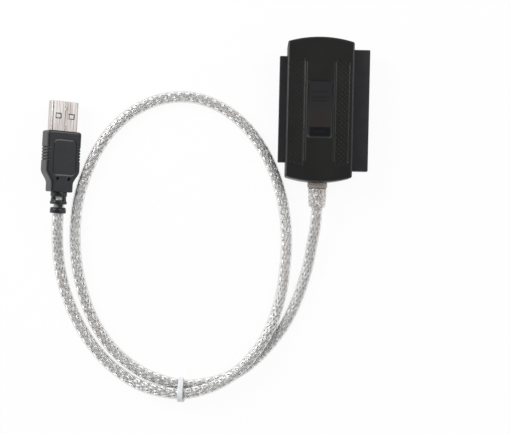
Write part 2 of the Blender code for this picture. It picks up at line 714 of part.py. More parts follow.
def make_socket(name, side, pitch, count, end, height, depth, reach, hole, mouth, hole_depth, tail):
    """Two-row pin socket: a body with lead-in holes in its face and tails round the board edge."""
    face = HOUSING_WIDTH / 2 + reach
    back = face - depth
    half = count * pitch / 2 + end
    body = block(name, (back, -half, PARTING_HEIGHT - height / 2),
                 (face, half, PARTING_HEIGHT + height / 2), bevel=SOCKET_EDGE, segments=1)
    places = []
    for row in (-1, 1):
        for number in range(count):
            if row < 0 and number == KEY_POSITION:
                continue
            places.append(Vector((0, (number - (count - 1) / 2) * pitch, row * pitch / 2)))
    square = math.sqrt(2)
    well = rod("well", hole / square, (face - hole_depth, 0, PARTING_HEIGHT),
               (face + FIT, 0, PARTING_HEIGHT), sides=4)
    cut(body, joined_copies(f"cut_{name}_wells", turn_square(well, face), places))
    lead_in = rod("lead_in", hole / square, (face - MOUTH_DEPTH, 0, PARTING_HEIGHT),
                  (face + FIT, 0, PARTING_HEIGHT), sides=4,
                  end_radius=mouth / square * (1 + FIT / MOUTH_DEPTH))
    cut(body, joined_copies(f"cut_{name}_mouths", turn_square(lead_in, face), places))
    tail_places = []
    for row in (-1, 1):
        for number in range(count):
            tail_places.append(Vector((0, (number - (count - 1) / 2) * pitch, row * pitch / 2)))
    spike = block("spike", (back - TAIL_LENGTH, -tail / 2, PARTING_HEIGHT - tail / 2),
                  (back + tail, tail / 2, PARTING_HEIGHT + tail / 2))
    join(body, joined_copies(f"tool_{name}_tails", spike, tail_places))
    for modifier in body.modifiers:
        modifier.object.parent = body
    body.location.y = SOCKET_CENTRE_Y
    if side < 0:
        body.rotation_euler = (0, 0, math.pi)
    return body


def turn_square(tool, face):
    """Turn a four-sided bar about its own axis, so its flats lie level and upright."""
    middle = Matrix.Translation((face, 0, PARTING_HEIGHT))
    tool.data.transform(middle @ Matrix.Rotation(math.pi / 4, 4, "X") @ middle.inverted())
    return tool


def sata_front_y():
    return HOUSING_LENGTH / 2 - SATA_SETBACK


def sata_back_y():
    return sata_front_y() - SATA_DEPTH


def tongue_height():
    """Lower face of the SATA tongue."""
    return PARTING_HEIGHT - TONGUE_DROP


def sata_strip_places():
    first = -(SATA_CONTACTS - 1) / 2 * SATA_PITCH
    return [first + number * SATA_PITCH for number in range(SATA_CONTACTS)]


def make_sata_housing():
    """Shroud with a cavity, a rear flange behind the end wall, and the L-shaped tongue."""
    front, back = sata_front_y(), sata_back_y()
    half_w, half_h = SATA_WIDTH / 2, SATA_HEIGHT / 2
    body = block("sata_housing", (-half_w, back, PARTING_HEIGHT - half_h),
                 (half_w, front, PARTING_HEIGHT + half_h), bevel=SOCKET_EDGE, segments=1)
    behind_wall = end_wall_y(half_w + SATA_FLANGE, WALL) - FIT
    flange = block("tool_sata_flange",
                   (-half_w - SATA_FLANGE, behind_wall - SATA_FLANGE_DEPTH,
                    PARTING_HEIGHT + BOARD_THICKNESS / 2 + FIT),
                   (half_w + SATA_FLANGE, behind_wall, PARTING_HEIGHT + half_h + SATA_FLANGE))
    join(body, flange)
    foot = block("tool_sata_foot",
                 (-half_w - SATA_FLANGE, behind_wall - SATA_FLANGE_DEPTH,
                  PARTING_HEIGHT - half_h - SATA_FLANGE),
                 (half_w + SATA_FLANGE, behind_wall, PARTING_HEIGHT - BOARD_THICKNESS / 2 - FIT))
    join(body, foot)
    cavity = block("cut_sata_cavity",
                   (-SATA_CAVITY_WIDTH / 2, front - SATA_CAVITY_DEPTH,
                    PARTING_HEIGHT - SATA_CAVITY_HEIGHT / 2),
                   (SATA_CAVITY_WIDTH / 2, front + FIT, PARTING_HEIGHT + SATA_CAVITY_HEIGHT / 2))
    cut(body, cavity)
    left, right = -TONGUE_WIDTH / 2, TONGUE_WIDTH / 2
    low, high = tongue_height(), tongue_height() + TONGUE_THICKNESS
    outline = [(left, low), (right - TONGUE_FOOT, low), (right - TONGUE_FOOT, low - TONGUE_FOOT),
               (right, low - TONGUE_FOOT), (right, high), (left, high)]
    upright = Matrix.Rotation(math.pi / 2, 4, "X")
    tongue = plate("tool_sata_tongue", outline, -(front - SATA_FLANGE_DEPTH),
                   -(front - SATA_CAVITY_DEPTH - WALL), upright)
    join(body, tongue)
    channel = block("channel", (-SATA_STRIP_WIDTH / 2 - CONTACT_FIT, back - FIT,
                                low - SATA_STRIP_THICKNESS),
                    (SATA_STRIP_WIDTH / 2 + CONTACT_FIT, front - SATA_FLANGE_DEPTH - TAIL_LENGTH / 4,
                     low + SATA_STRIP_THICKNESS + CONTACT_FIT))
    shifts = [Vector((x, 0, 0)) for x in sata_strip_places()]
    cut(body, joined_copies("cut_sata_channels", channel, shifts))
    return finish(body, "sata_housing", "socket_plastic")


def make_sata_contacts():
    """Seven strips: along the tongue's lower face, out of the back and up onto the board."""
    low = tongue_height()
    tip = sata_front_y() - SATA_FLANGE_DEPTH - TAIL_LENGTH / 4 - FIT
    back = sata_back_y() - CONTACT_FIT
    foot = BOARD_TOP + CONTACT_FIT
    thick = SATA_STRIP_THICKNESS
    profile = [(tip, low), (tip, low + thick), (back, low + thick), (back, foot + thick),
               (back - TAIL_LENGTH, foot + thick), (back - TAIL_LENGTH, foot),
               (back - thick, foot), (back - thick, low)]
    upright = Matrix(((0, 0, 1, 0), (1, 0, 0, 0), (0, 1, 0, 0), (0, 0, 0, 1)))
    for number, x in enumerate(sata_strip_places(), start=1):
        strip = plate("strip", profile, x - SATA_STRIP_WIDTH / 2, x + SATA_STRIP_WIDTH / 2, upright)
        finish(strip, f"sata_contact_{number}", "gold")


def make_chip():
    """Quad flat pack: a body with drafted sides and bent leads along all four."""
    x, y = CHIP_CENTRE
    base = BOARD_TOP + CONTACT_FIT
    stand_off = CHIP_LEAD_THICKNESS
    half = CHIP_SIZE / 2
    draft = CHIP_HEIGHT / 8
    sections = []
    for height, inset in ((stand_off, draft), (CHIP_HEIGHT / 2, 0.0), (CHIP_HEIGHT, draft)):
        outline = rounded_rectangle(2 * (half - inset), 2 * (half - inset), draft, 1, (x, y))
        sections.append([(px, py, base + height) for px, py in outline])
    body = loft("bridge_chip", sections)
    middle = base + CHIP_HEIGHT / 2
    thick = CHIP_LEAD_THICKNESS
    foot = half + CHIP_LEAD_REACH / 2
    profile = [(half - draft, middle + thick), (half - draft, middle - thick),
               (foot - thick, base), (half + CHIP_LEAD_REACH, base),
               (half + CHIP_LEAD_REACH, base + thick), (foot, base + thick)]
    upright = Matrix.Rotation(math.pi / 2, 4, "X")
    span = (CHIP_LEAD_COUNT - 1) / 2
    leads = bmesh.new()
    for quarter in range(4):
        turn = Matrix.Translation((x, y, 0)) @ Matrix.Rotation(quarter * math.pi / 2, 4, "Z")
        for number in range(CHIP_LEAD_COUNT):
            along = (number - span) * CHIP_LEAD_PITCH
            lead = plate("lead", profile, along - CHIP_LEAD_WIDTH / 2,
                         along + CHIP_LEAD_WIDTH / 2, upright)
            start = len(leads.verts)
            leads.from_mesh(lead.data)
            leads.verts.ensure_lookup_table()
            bmesh.ops.transform(leads, matrix=turn, verts=leads.verts[start:])
            bpy.data.objects.remove(lead, do_unlink=True)
    join(body, place("tool_chip_leads", to_mesh("tool_chip_leads", leads)))
    return finish(body, "bridge_chip", "chip_plastic")


def make_crystal():
    """Quartz crystal: a drawn can with round ends on a wider base flange."""
    x, y = CRYSTAL_CENTRE
    base = BOARD_TOP + CONTACT_FIT
    flange = CRYSTAL_WIDTH / 10
    sections = []
    levels = ((0.0, 0.0), (0.12, 0.0), (0.12, flange), (0.90, flange), (1.0, 2 * flange))
    for share, inset in levels:
        outline = rounded_rectangle(CRYSTAL_LENGTH - 2 * inset, CRYSTAL_WIDTH - 2 * inset,
                                    (CRYSTAL_WIDTH - 2 * inset) * 0.48, 6, (x, y))
        sections.append([(px, py, base + share * CRYSTAL_HEIGHT) for px, py in outline])
    return finish(loft("crystal", sections), "crystal", "crystal_can")


def make_regulator():
    """Three-legged regulator with its wide tab on the other side."""
    x, y = REGULATOR_CENTRE
    length, width, height = REGULATOR_SIZE
    base = BOARD_TOP + CONTACT_FIT
    draft = height / 12
    sections = []
    for level, inset in ((CONTACT_FIT, draft), (height / 2, 0.0), (height, draft)):
        outline = rounded_rectangle(length - 2 * inset, width - 2 * inset, draft, 1, (x, y))
        sections.append([(px, py, base + level) for px, py in outline])
    body = loft("regulator", sections)
    lead_width = length / 9
    thick = height / 6
    reach = width / 2
    for number in (-1, 0, 1):
        lead_x = x + number * length / 3
        join(body, block(f"tool_leg_{number}", (lead_x - lead_width / 2, y - width / 2 - reach / 2, base),
                         (lead_x + lead_width / 2, y - width / 4, base + thick)))
    join(body, block("tool_tab", (x - length / 4, y + width / 4, base),
                     (x + length / 4, y + width / 2 + reach / 2, base + thick)))
    return finish(body, "regulator", "chip_plastic")


def make_capacitor(number, centre, size, finish_name):
    """Chip capacitor: a block with its two wrapped end terminals standing slightly proud."""
    x, y = centre
    length, width, height = size
    base = BOARD_TOP + CONTACT_FIT
    lap = height / 20
    body = block(f"capacitor_{number}", (x - length / 2, y - width / 2 + lap, base + lap),
                 (x + length / 2, y + width / 2 - lap, base + height - lap))
    for side in (-1, 1):
        inner = x + side * length * 0.27
        outer = x + side * (length / 2 + lap)
        join(body, block(f"tool_terminal_{number}_{side}",
                         (min(inner, outer), y - width / 2, base),
                         (max(inner, outer), y + width / 2, base + height)))
    return finish(body, f"capacitor_{number}", finish_name)


def make_strain_relief():
    """Clear sleeve turned round the cable, clamped at its neck by the two covers."""
    bore = CABLE_DIAMETER / 2 + FIT
    outer_face = HOUSING_LENGTH / 2 + FIT
    inner_face = HOUSING_LENGTH / 2 - WALL - FIT
    collar = outer_face + RELIEF_COLLAR_LENGTH
    start = collar + RELIEF_GROOVE_LENGTH
    end = start + RELIEF_BODY_LENGTH

    profile = [
        (bore, inner_face - RELIEF_FLANGE_LENGTH),
        (RELIEF_FLANGE_RADIUS, inner_face - RELIEF_FLANGE_LENGTH),
        (RELIEF_FLANGE_RADIUS, inner_face),
        (RELIEF_NECK_RADIUS, inner_face),
        (RELIEF_NECK_RADIUS, outer_face),
        (RELIEF_COLLAR_RADIUS - FIT, outer_face),
        (RELIEF_COLLAR_RADIUS, outer_face + FIT),
        (RELIEF_COLLAR_RADIUS, collar - FIT),
        (RELIEF_COLLAR_RADIUS - FIT, collar),
        (RELIEF_GROOVE_RADIUS, collar),
        (RELIEF_GROOVE_RADIUS, start),
        (RELIEF_BODY_RADIUS, start),
    ]
    for step in range(4):
        angle = math.pi / 2 * step / 3
        profile.append((RELIEF_TIP_RADIUS - RELIEF_TIP_ROUND * (1 - math.cos(angle)),
                        end - RELIEF_TIP_ROUND * (1 - math.sin(angle))))
    profile.append((bore, end))
    profile.reverse()
    matrix = Matrix.Translation((0, 0, PARTING_HEIGHT)) @ Matrix.Rotation(math.pi / 2, 4, "X")
    return finish(turned("strain_relief", profile, matrix), "strain_relief", "clear_vinyl")


def smooth_route(points, spacing):
    """Even points along a smooth curve through the route's points (Catmull-Rom)."""
    points = [Vector(point) for point in points]
    ends = [2 * points[0] - points[1]] + points + [2 * points[-1] - points[-2]]
    dense = []
    for index in range(1, len(ends) - 2):
        before, start, end, after = ends[index - 1:index + 3]
        for step in range(ROUTE_SAMPLES):
            t = step / ROUTE_SAMPLES
            dense.append(0.5 * (2 * start + (end - before) * t
                                + (2 * before - 5 * start + 4 * end - after) * t ** 2
                                + (3 * start - before - 3 * end + after) * t ** 3))
    dense.append(points[-1])
    total = sum((b - a).length for a, b in zip(dense, dense[1:]))
    count = round(total / spacing)
    even = [dense[0]]
    travelled, target = 0.0, total / count
    for a, b in zip(dense, dense[1:]):
        step = (b - a).length
        while travelled + step >= target * len(even) and len(even) < count:
            even.append(a + (b - a) * ((target * len(even) - travelled) / step))
        travelled += step
    even.append(dense[-1])
    return even


def make_cable():
    """Cable laid along its route, from inside the housing to inside the plug."""
    route = smooth_route(CABLE_ROUTE, ROUTE_SPACING)
    return finish(tube("cable", route, CABLE_DIAMETER, 3), "cable", "cable_jacket")


def make_cores():
    """Four cores and the shield wire, fanned out from the cable's end to pads on the board."""
    start_y = CABLE_ROUTE[0][1] + FIT
    edge_y = BOARD_CENTRE_Y - BOARD_LENGTH / 2 + CABLE_NOTCH_DEPTH
    cores = (("wire_red", "core_red", -1.0, 1.0), ("wire_white", "core_white", -0.5, -1.0),
             ("wire_green", "core_green", 0.5, -1.0), ("wire_black", "core_black", 1.0, 1.0),
             ("wire_shield", "tinned_copper", 0.0, 0.35))
    pad_height = BOARD_TOP + CONTACT_FIT + CORE_DIAMETER / 2
    for number, (name, finish_name, across, up) in enumerate(cores):
        order = (-1.0, -0.5, 0.5, 1.0, 0.0)[number]
        start_x = across * CORE_SPREAD
        start_z = PARTING_HEIGHT + up * CORE_LIFT
        pad_x = order * 2 * CORE_PAD_PITCH
        clear_z = pad_height + CORE_LIFT / 2
        points = [(start_x, start_y, start_z),
                  (start_x, start_y + CORE_DIAMETER / 2, start_z),
                  ((start_x + pad_x) / 2, edge_y - CORE_DIAMETER / 2, clear_z),
                  (pad_x, edge_y + CORE_DIAMETER, clear_z),
                  (pad_x, edge_y + 3 * CORE_DIAMETER, pad_height)]
        finish(tube(name, points, CORE_DIAMETER, 2), name, finish_name)


def strands_at_tie():
    """Where the two strands pass through the tie: (y, z) of the lower and the upper one."""
    route = smooth_route(CABLE_ROUTE, ROUTE_SPACING)
    crossings = []
    for start, end in zip(route, route[1:]):
        if start.y < TIE_BEFORE_Y and (start.x - TIE_X) * (end.x - TIE_X) <= 0:
            middle = start.lerp(end, (TIE_X - start.x) / (end.x - start.x))
            crossings.append(Vector((middle.y, middle.z)))
    return sorted(crossings, key=lambda crossing: crossing.y)[:2]


def tie_outline(radius, steps=10):
    """Loop drawn round both strands at one distance from their centrelines."""
    lower, upper = strands_at_tie()
    lean = math.atan2(upper.y - lower.y, upper.x - lower.x)
    outline = []
    for centre, start in ((upper, lean - math.pi / 2), (lower, lean + math.pi / 2)):
        for step in range(steps + 1):
            angle = start + math.pi * step / steps
            outline.append((centre.x + radius * math.cos(angle),
                            centre.y + radius * math.sin(angle)))
    return outline


def make_cable_tie():
    """Flat band round both strands with its locking head and a short cut tail."""
    inner = CABLE_DIAMETER / 2 + TIE_SLACK
    outer = inner + TIE_THICKNESS
    sideways = Matrix(((0, 0, 1, 0), (1, 0, 0, 0), (0, 1, 0, 0), (0, 0, 0, 1)))
    band = plate("cable_tie", tie_outline(outer), TIE_X - TIE_WIDTH / 2, TIE_X + TIE_WIDTH / 2,
                 sideways)
    lower, upper = strands_at_tie()
    lean = (upper - lower).normalized()
    out = Vector((-lean.y, lean.x))
    if out.x > 0:
        out = -out
    head_at = (lower + upper) / 2 + out * (outer - TIE_THICKNESS / 2 + TIE_HEAD_HEIGHT / 2)
    turn = Matrix(((1, 0, 0, 0), (0, lean.x, out.x, 0), (0, lean.y, out.y, 0), (0, 0, 0, 1)))
    head = block("tool_tie_head", (-TIE_HEAD_WIDTH / 2, -TIE_HEAD_LENGTH / 2, -TIE_HEAD_HEIGHT / 2),
                 (TIE_HEAD_WIDTH / 2, TIE_HEAD_LENGTH / 2, TIE_HEAD_HEIGHT / 2),
                 bevel=TIE_THICKNESS / 3)
    head.data.transform(Matrix.Translation((TIE_X, *head_at)) @ turn)
    join(band, head)
    tail = block("tool_tie_tail", (-TIE_WIDTH / 2, -TIE_THICKNESS / 2, -TIE_THICKNESS),
                 (TIE_WIDTH / 2, TIE_THICKNESS / 2, TIE_HEAD_HEIGHT / 2 + TIE_TAIL))
    tail.data.transform(Matrix.Translation((TIE_X, *head_at)) @ turn)
    join(band, tail)
    cut(band, plate("cut_tie", tie_outline(inner), TIE_X - TIE_WIDTH, TIE_X + TIE_WIDTH, sideways))
    return finish(band, "cable_tie", "nylon")


def make_plug_frame():
    """Empty at the front of the plug's moulding; the plug's own +Y points to its mouth."""
    frame = bpy.data.objects.new("plug_frame", None)
    PARTS.objects.link(frame)
    turn = Matrix.Rotation(math.radians(PLUG_TURN), 4, "Z")
    roll = Matrix.Rotation(math.radians(PLUG_ROLL), 4, "Y")
    frame.matrix_world = Matrix.Translation((*PLUG_FRONT_AT, PLUG_HEIGHT_ABOVE_TABLE)) @ turn @ roll
    return frame


def plug_section(along, width, height, edge):
    """One upright section of the plug's moulding, anticlockwise seen from its front."""
    return [(-x, along, z) for x, z in rounded_rectangle(width, height, edge, 3)]


def make_plug_body(frame):
    """Moulding with a waist, side grooves, face panels, and the windowed relief behind it."""
    sections = []
    narrow_edge = PLUG_EDGE * PLUG_NARROW_HEIGHT / PLUG_HEIGHT
    for step in range(4):
        angle = math.pi / 2 * step / 3
        inward = PLUG_REAR_ROUND * (1 - math.sin(angle))
        sections.append(plug_section(-PLUG_LENGTH + PLUG_REAR_ROUND * (1 - math.cos(angle)),
                                     PLUG_NARROW_WIDTH - 2 * inward,
                                     PLUG_NARROW_HEIGHT - 2 * inward, narrow_edge))
    taper_start = -(PLUG_WIDE_LENGTH + PLUG_TAPER_LENGTH)
    for step in range(7):
        share = step / 6
        blend = share * share * (3 - 2 * share)
        sections.append(plug_section(taper_start + PLUG_TAPER_LENGTH * share,
                                     PLUG_NARROW_WIDTH + (PLUG_WIDTH - PLUG_NARROW_WIDTH) * blend,
                                     PLUG_NARROW_HEIGHT
                                     + (PLUG_HEIGHT - PLUG_NARROW_HEIGHT) * blend,
                                     narrow_edge + (PLUG_EDGE - narrow_edge) * blend))
    for step in range(4):
        angle = math.pi / 2 * step / 3
        sections.append(plug_section(-PLUG_FRONT_ROUND * (1 - math.sin(angle)),
                                     PLUG_WIDTH - 2 * PLUG_FRONT_ROUND * (1 - math.cos(angle)),
                                     PLUG_HEIGHT - PLUG_EDGE / 2 * (1 - math.cos(angle)),
                                     PLUG_EDGE))
    body = loft("usb_plug_body", sections)
    body.parent = frame

    windows = make_plug_relief(body, frame)
    bore_end = -PLUG_LENGTH + PLUG_BORE_WALL
    bore = rod("cut_plug_bore", CABLE_DIAMETER / 2 + FIT, (0, -PLUG_LENGTH - TAIL_LENGTH_ALL - FIT, 0),
               (0, bore_end, 0))
    bore.parent = frame
    cut(body, bore)
    for window in windows:
        cut(body, window)

    pocket = block("cut_plug_pocket",
                   (-SHELL_WIDTH / 2 - FIT, -SHELL_IN - USB_SOLDER_TAIL - FIT,
                    -SHELL_HEIGHT / 2 - FIT),
                   (SHELL_WIDTH / 2 + FIT, FIT, SHELL_HEIGHT / 2 + FIT))
    pocket.parent = frame
    cut(body, pocket)
    add_plug_details(body, frame)
    return finish(body, "usb_plug_body", "plug_plastic")


def make_plug_relief(body, frame):
    """Join the ringed relief to the moulding, and return the tools for its windows."""
    ring_start = -PLUG_LENGTH - TAIL_COLLAR_LENGTH - TAIL_WINDOW
    second = ring_start - TAIL_RING_LENGTH - TAIL_WINDOW
    end = second - TAIL_END_LENGTH
    pieces = (
        (TAIL_COLLAR_RADIUS, -PLUG_LENGTH - TAIL_COLLAR_LENGTH, -PLUG_LENGTH + FIT),
        (TAIL_NECK_RADIUS, end + TAIL_END_LENGTH / 2, -PLUG_LENGTH + FIT),
        (TAIL_RING_RADIUS, ring_start - TAIL_RING_LENGTH, ring_start),
        (TAIL_END_RADIUS, end, second),
    )
    for number, (radius, low, high) in enumerate(pieces):
        disc = rod(f"tool_relief_{number}", radius, (0, low, 0), (0, high, 0))
        disc.parent = frame
        join(body, disc)
    # Behind the collar a window opens above and below, and behind the ring one at each side
    reach = TAIL_RING_RADIUS + FIT
    opening = TAIL_OPENING_WIDTH / 2
    rib = TAIL_RIB_WIDTH / 2
    places = ((ring_start, -opening, opening), (second, rib, reach), (second, -reach, -rib))
    windows = []
    for number, (low, left, right) in enumerate(places):
        window = block(f"cut_window_{number}", (left, low, -reach),
                       (right, low + TAIL_WINDOW, reach))
        window.parent = frame
        window.rotation_euler.y = math.radians(TAIL_TWIST)
        windows.append(window)
    return windows


def add_plug_details(body, frame):
    """Grip grooves on both narrow sides, and a panel and two dimples on both broad faces."""
    for side in (-1, 1):
        for number in range(GROOVE_COUNT):
            middle = -(GROOVE_START + number * GROOVE_PITCH)
            face = side * (PLUG_WIDTH / 2 - GROOVE_DEPTH)
            outline = [(face, middle), (face + side * 2 * GROOVE_DEPTH, middle - GROOVE_WIDTH),
                       (face + side * 2 * GROOVE_DEPTH, middle + GROOVE_WIDTH)]
            groove = plate(f"cut_groove_{side}_{number}", outline, -PLUG_HEIGHT, PLUG_HEIGHT)
            groove.parent = frame
            cut(body, groove)
        face = side * PLUG_HEIGHT / 2
        low, high = sorted((face - side * PANEL_DEPTH, face + side * PANEL_DEPTH))
        half = PANEL_WIDTH / 2
        start, end = -PANEL_START, -PANEL_START - PANEL_LENGTH
        outline = [(half, start - PANEL_SLANT / 2), (half - PANEL_SLANT / 3, start),
                   (-half + PANEL_SLANT / 3, start), (-half, start - PANEL_SLANT / 2),
                   (-half, end + PANEL_SLANT), (-half + PANEL_SLANT / 2, end),
                   (half - PANEL_SLANT / 2, end), (half, end + PANEL_SLANT)]
        panel = plate(f"cut_panel_{side}", outline, low, high)
        panel.parent = frame
        cut(body, panel)
        for place_x in (-DIMPLE_SPACING / 2, DIMPLE_SPACING / 2):
            dimple = rod(f"cut_dimple_{side}_{place_x:.4f}", DIMPLE_RADIUS,
                         (place_x, -DIMPLE_FROM_FRONT, face - side * DIMPLE_DEPTH),
                         (place_x, -DIMPLE_FROM_FRONT, face + side * DIMPLE_DEPTH), sides=12)
            dimple.parent = frame
            cut(body, dimple)


def seam_outline():
    """Thin path of the folded shell's seam from mouth to rear, stepping round each dovetail."""
    half = SEAM_GAP / 2
    right, left = [], []
    for middle in DOVETAIL_FROM_MOUTH:
        near = SHELL_OUT - middle + DOVETAIL_SIZE / 2
        far = SHELL_OUT - middle - DOVETAIL_SIZE / 2
        waist, wide = DOVETAIL_SIZE * 0.35, DOVETAIL_SIZE * 0.6
        right += [(half, near + half), (wide + half, near + half), (waist + half, far - half),
                  (half, far - half)]
        left += [(-half, near - half), (wide - half, near - half), (waist - half, far + half),
                 (-half, far + half)]
    mouth, rear = SHELL_OUT + FIT, -SHELL_IN - FIT
    return [(half, mouth)] + right + [(half, rear), (-half, rear)] + left[::-1] + [(-half, mouth)]


def make_usb_shell(frame):
    """Folded sheet tube with two windows in each broad face and a dovetailed seam above."""
    upright = Matrix.Rotation(math.pi / 2, 4, "X")
    outline = rounded_rectangle(SHELL_WIDTH, SHELL_HEIGHT, SHELL_CORNER, 3)
    shell = plate("usb_shell", outline, -SHELL_OUT, SHELL_IN, upright)
    inner = rounded_rectangle(SHELL_WIDTH - 2 * SHELL_SHEET, SHELL_HEIGHT - 2 * SHELL_SHEET,
                              SHELL_CORNER - SHELL_SHEET, 3)
    cut(shell, plate("cut_shell_inside", inner, -SHELL_OUT - FIT, SHELL_IN + FIT, upright))
    middle = SHELL_OUT - WINDOW_FROM_MOUTH
    for side in (-1, 1):
        x = side * WINDOW_SPACING / 2
        window = block(f"cut_shell_window_{side}",
                       (x - WINDOW_WIDTH / 2, middle - WINDOW_LENGTH / 2, -SHELL_HEIGHT),
                       (x + WINDOW_WIDTH / 2, middle + WINDOW_LENGTH / 2, SHELL_HEIGHT))
        cut(shell, window)
    cut(shell, plate("cut_seam", seam_outline(), SHELL_HEIGHT / 4, SHELL_HEIGHT))
    for modifier in shell.modifiers:
        modifier.object.parent = frame
    return finish(shell, "usb_shell", "shell_steel", frame)


def strip_height():
    """Lower face of the plastic tongue, where the contacts lie."""
    return SHELL_HEIGHT / 2 - SHELL_SHEET - CONTACT_FIT - USB_TONGUE_THICKNESS


def make_usb_tongue(frame):
    """Plastic tongue against the seam face, with the base block that closes the shell's rear."""
    half = SHELL_WIDTH / 2 - SHELL_SHEET - CONTACT_FIT
    top = SHELL_HEIGHT / 2 - SHELL_SHEET - CONTACT_FIT
    low = strip_height()
    tip = SHELL_OUT - USB_TONGUE_SETBACK
    rear = -SHELL_IN
    corner = SHELL_CORNER / 2
    tongue = block("usb_tongue", (-half, rear, low), (half, tip, top), bevel=corner / 2, segments=1)
    base = block("tool_usb_base", (-half, rear, -top), (half, rear + USB_BASE_LENGTH, top),
                 bevel=corner / 2, segments=1)
    join(tongue, base)
    for number, (x, setback) in enumerate(zip(USB_CONTACT_X, USB_CONTACT_SETBACK)):
        width = USB_STRIP_WIDTH / 2 + CONTACT_FIT
        cut(tongue, block(f"cut_usb_channel_{number}",
                          (x - width, rear - FIT, low - USB_STRIP_THICKNESS),
                          (x + width, tip - setback + CONTACT_FIT,
                           low + USB_STRIP_THICKNESS + CONTACT_FIT)))
    for modifier in tongue.modifiers:
        modifier.object.parent = frame
    return finish(tongue, "usb_tongue", "white_plastic", frame)


def make_usb_contacts(frame):
    """Four strips in the tongue's channels, each with a solder tail behind the base."""
    low = strip_height()
    tip = SHELL_OUT - USB_TONGUE_SETBACK
    for number, (x, setback) in enumerate(zip(USB_CONTACT_X, USB_CONTACT_SETBACK), start=1):
        strip = block("strip", (x - USB_STRIP_WIDTH / 2, -SHELL_IN - USB_SOLDER_TAIL, low),
                      (x + USB_STRIP_WIDTH / 2, tip - setback, low + USB_STRIP_THICKNESS))
        finish(strip, f"usb_contact_{number}", "gold", frame)


def build():
    openings = wall_openings()
    make_top_cover(openings)
    make_bottom_cover(openings)
    make_board()
    ide40 = make_socket("ide40_socket", 1, IDE40_PITCH, IDE40_COUNT, IDE40_END, IDE40_HEIGHT,
                        IDE40_DEPTH, IDE40_REACH, IDE40_HOLE, IDE40_MOUTH, IDE40_HOLE_DEPTH,
                        IDE40_TAIL)
    finish(ide40, "ide40_socket", "socket_plastic")
    ide44 = make_socket("ide44_socket", -1, IDE44_PITCH, IDE44_COUNT, IDE44_END, IDE44_HEIGHT,
                        IDE44_DEPTH, IDE44_REACH, IDE44_HOLE, IDE44_MOUTH, IDE44_HOLE_DEPTH,
                        IDE44_TAIL)
    finish(ide44, "ide44_socket", "socket_plastic")
    make_sata_housing()
    make_sata_contacts()
    make_chip()
    make_crystal()
    make_regulator()
    make_capacitor(1, CAPACITOR_1_CENTRE, TANTALUM_SIZE, "tantalum")
    make_capacitor(2, CAPACITOR_2_CENTRE, TANTALUM_SIZE, "tantalum")
    make_capacitor(3, CAPACITOR_3_CENTRE, CERAMIC_SIZE, "ceramic")
    make_capacitor(4, CAPACITOR_4_CENTRE, CERAMIC_SIZE, "ceramic")
    make_strain_relief()
    make_cable()
    make_cores()
    make_cable_tie()
    frame = make_plug_frame()
    make_plug_body(frame)
    make_usb_shell(frame)
    make_usb_tongue(frame)
    make_usb_contacts(frame)
    bpy.context.view_layer.update()


build()
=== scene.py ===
# %% [markdown]
# A drive adapter with its USB cable, dressed for its portrait
#
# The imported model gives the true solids: two covers, their sockets, the plug and a plain tube for
# the cable. This lesson keeps those sizes and makes what the eye reads as the real thing: the
# braid under the clear jacket, the knurled grips, the smoky sleeve and the plated plug shell.
# Lengths are metres. +Y runs along the box to its SATA port and +Z is up.

# %% Load the frame
import math

import bmesh
import bpy
import numpy as np
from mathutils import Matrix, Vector


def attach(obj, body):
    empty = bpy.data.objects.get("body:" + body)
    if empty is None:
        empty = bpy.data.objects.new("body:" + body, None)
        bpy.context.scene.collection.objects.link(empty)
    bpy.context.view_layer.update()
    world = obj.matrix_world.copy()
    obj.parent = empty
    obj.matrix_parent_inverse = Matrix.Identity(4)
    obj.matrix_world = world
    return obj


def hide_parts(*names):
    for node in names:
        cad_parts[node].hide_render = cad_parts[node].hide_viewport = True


MM = 0.001
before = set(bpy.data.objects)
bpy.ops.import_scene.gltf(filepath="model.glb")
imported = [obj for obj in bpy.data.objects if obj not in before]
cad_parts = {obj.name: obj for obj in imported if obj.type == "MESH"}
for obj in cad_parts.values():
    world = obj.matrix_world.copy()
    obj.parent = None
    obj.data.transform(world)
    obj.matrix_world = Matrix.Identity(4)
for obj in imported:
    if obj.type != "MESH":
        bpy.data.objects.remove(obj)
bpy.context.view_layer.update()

# %% [markdown]
# The camera comes first, because everything later is judged through it. The photograph looks
# straight down from about 450 mm, so the box's right side hides and its left wall just shows.
# A camera could be aimed with a constraint, but three numbers are plainer: where it hangs, how
# far it is rolled, and the lens that gives the picture its scale.

# %% Camera
CAMERA_HEIGHT = 450 * MM
CAMERA_AT = (-26.27 * MM, -45.81 * MM)
CAMERA_ROLL = math.radians(1.3)
SENSOR_WIDTH = 36.0
FRAME_PIXELS = 510
FOCAL_PIXELS = 1036

camera_data = bpy.data.cameras.new("camera")
camera_data.sensor_fit = "HORIZONTAL"
camera_data.sensor_width = SENSOR_WIDTH
camera_data.lens = SENSOR_WIDTH * FOCAL_PIXELS / FRAME_PIXELS
camera_data.clip_start = 0.01
camera_data.clip_end = 20.0
camera = bpy.data.objects.new("camera", camera_data)
camera.location = (*CAMERA_AT, CAMERA_HEIGHT)
camera.rotation_euler = (0.0, 0.0, CAMERA_ROLL)
bpy.context.scene.collection.objects.link(camera)
bpy.context.scene.camera = camera
bpy.context.scene.view_settings.view_transform = "Standard"
print("lens in mm:", round(camera_data.lens, 1))

# %% [markdown]
# Shader sums read best as sums. One small class wraps a socket, so that `1 - mask` or
# `noise * 0.3` adds the Math node by itself, and one method on the material adds any other node.

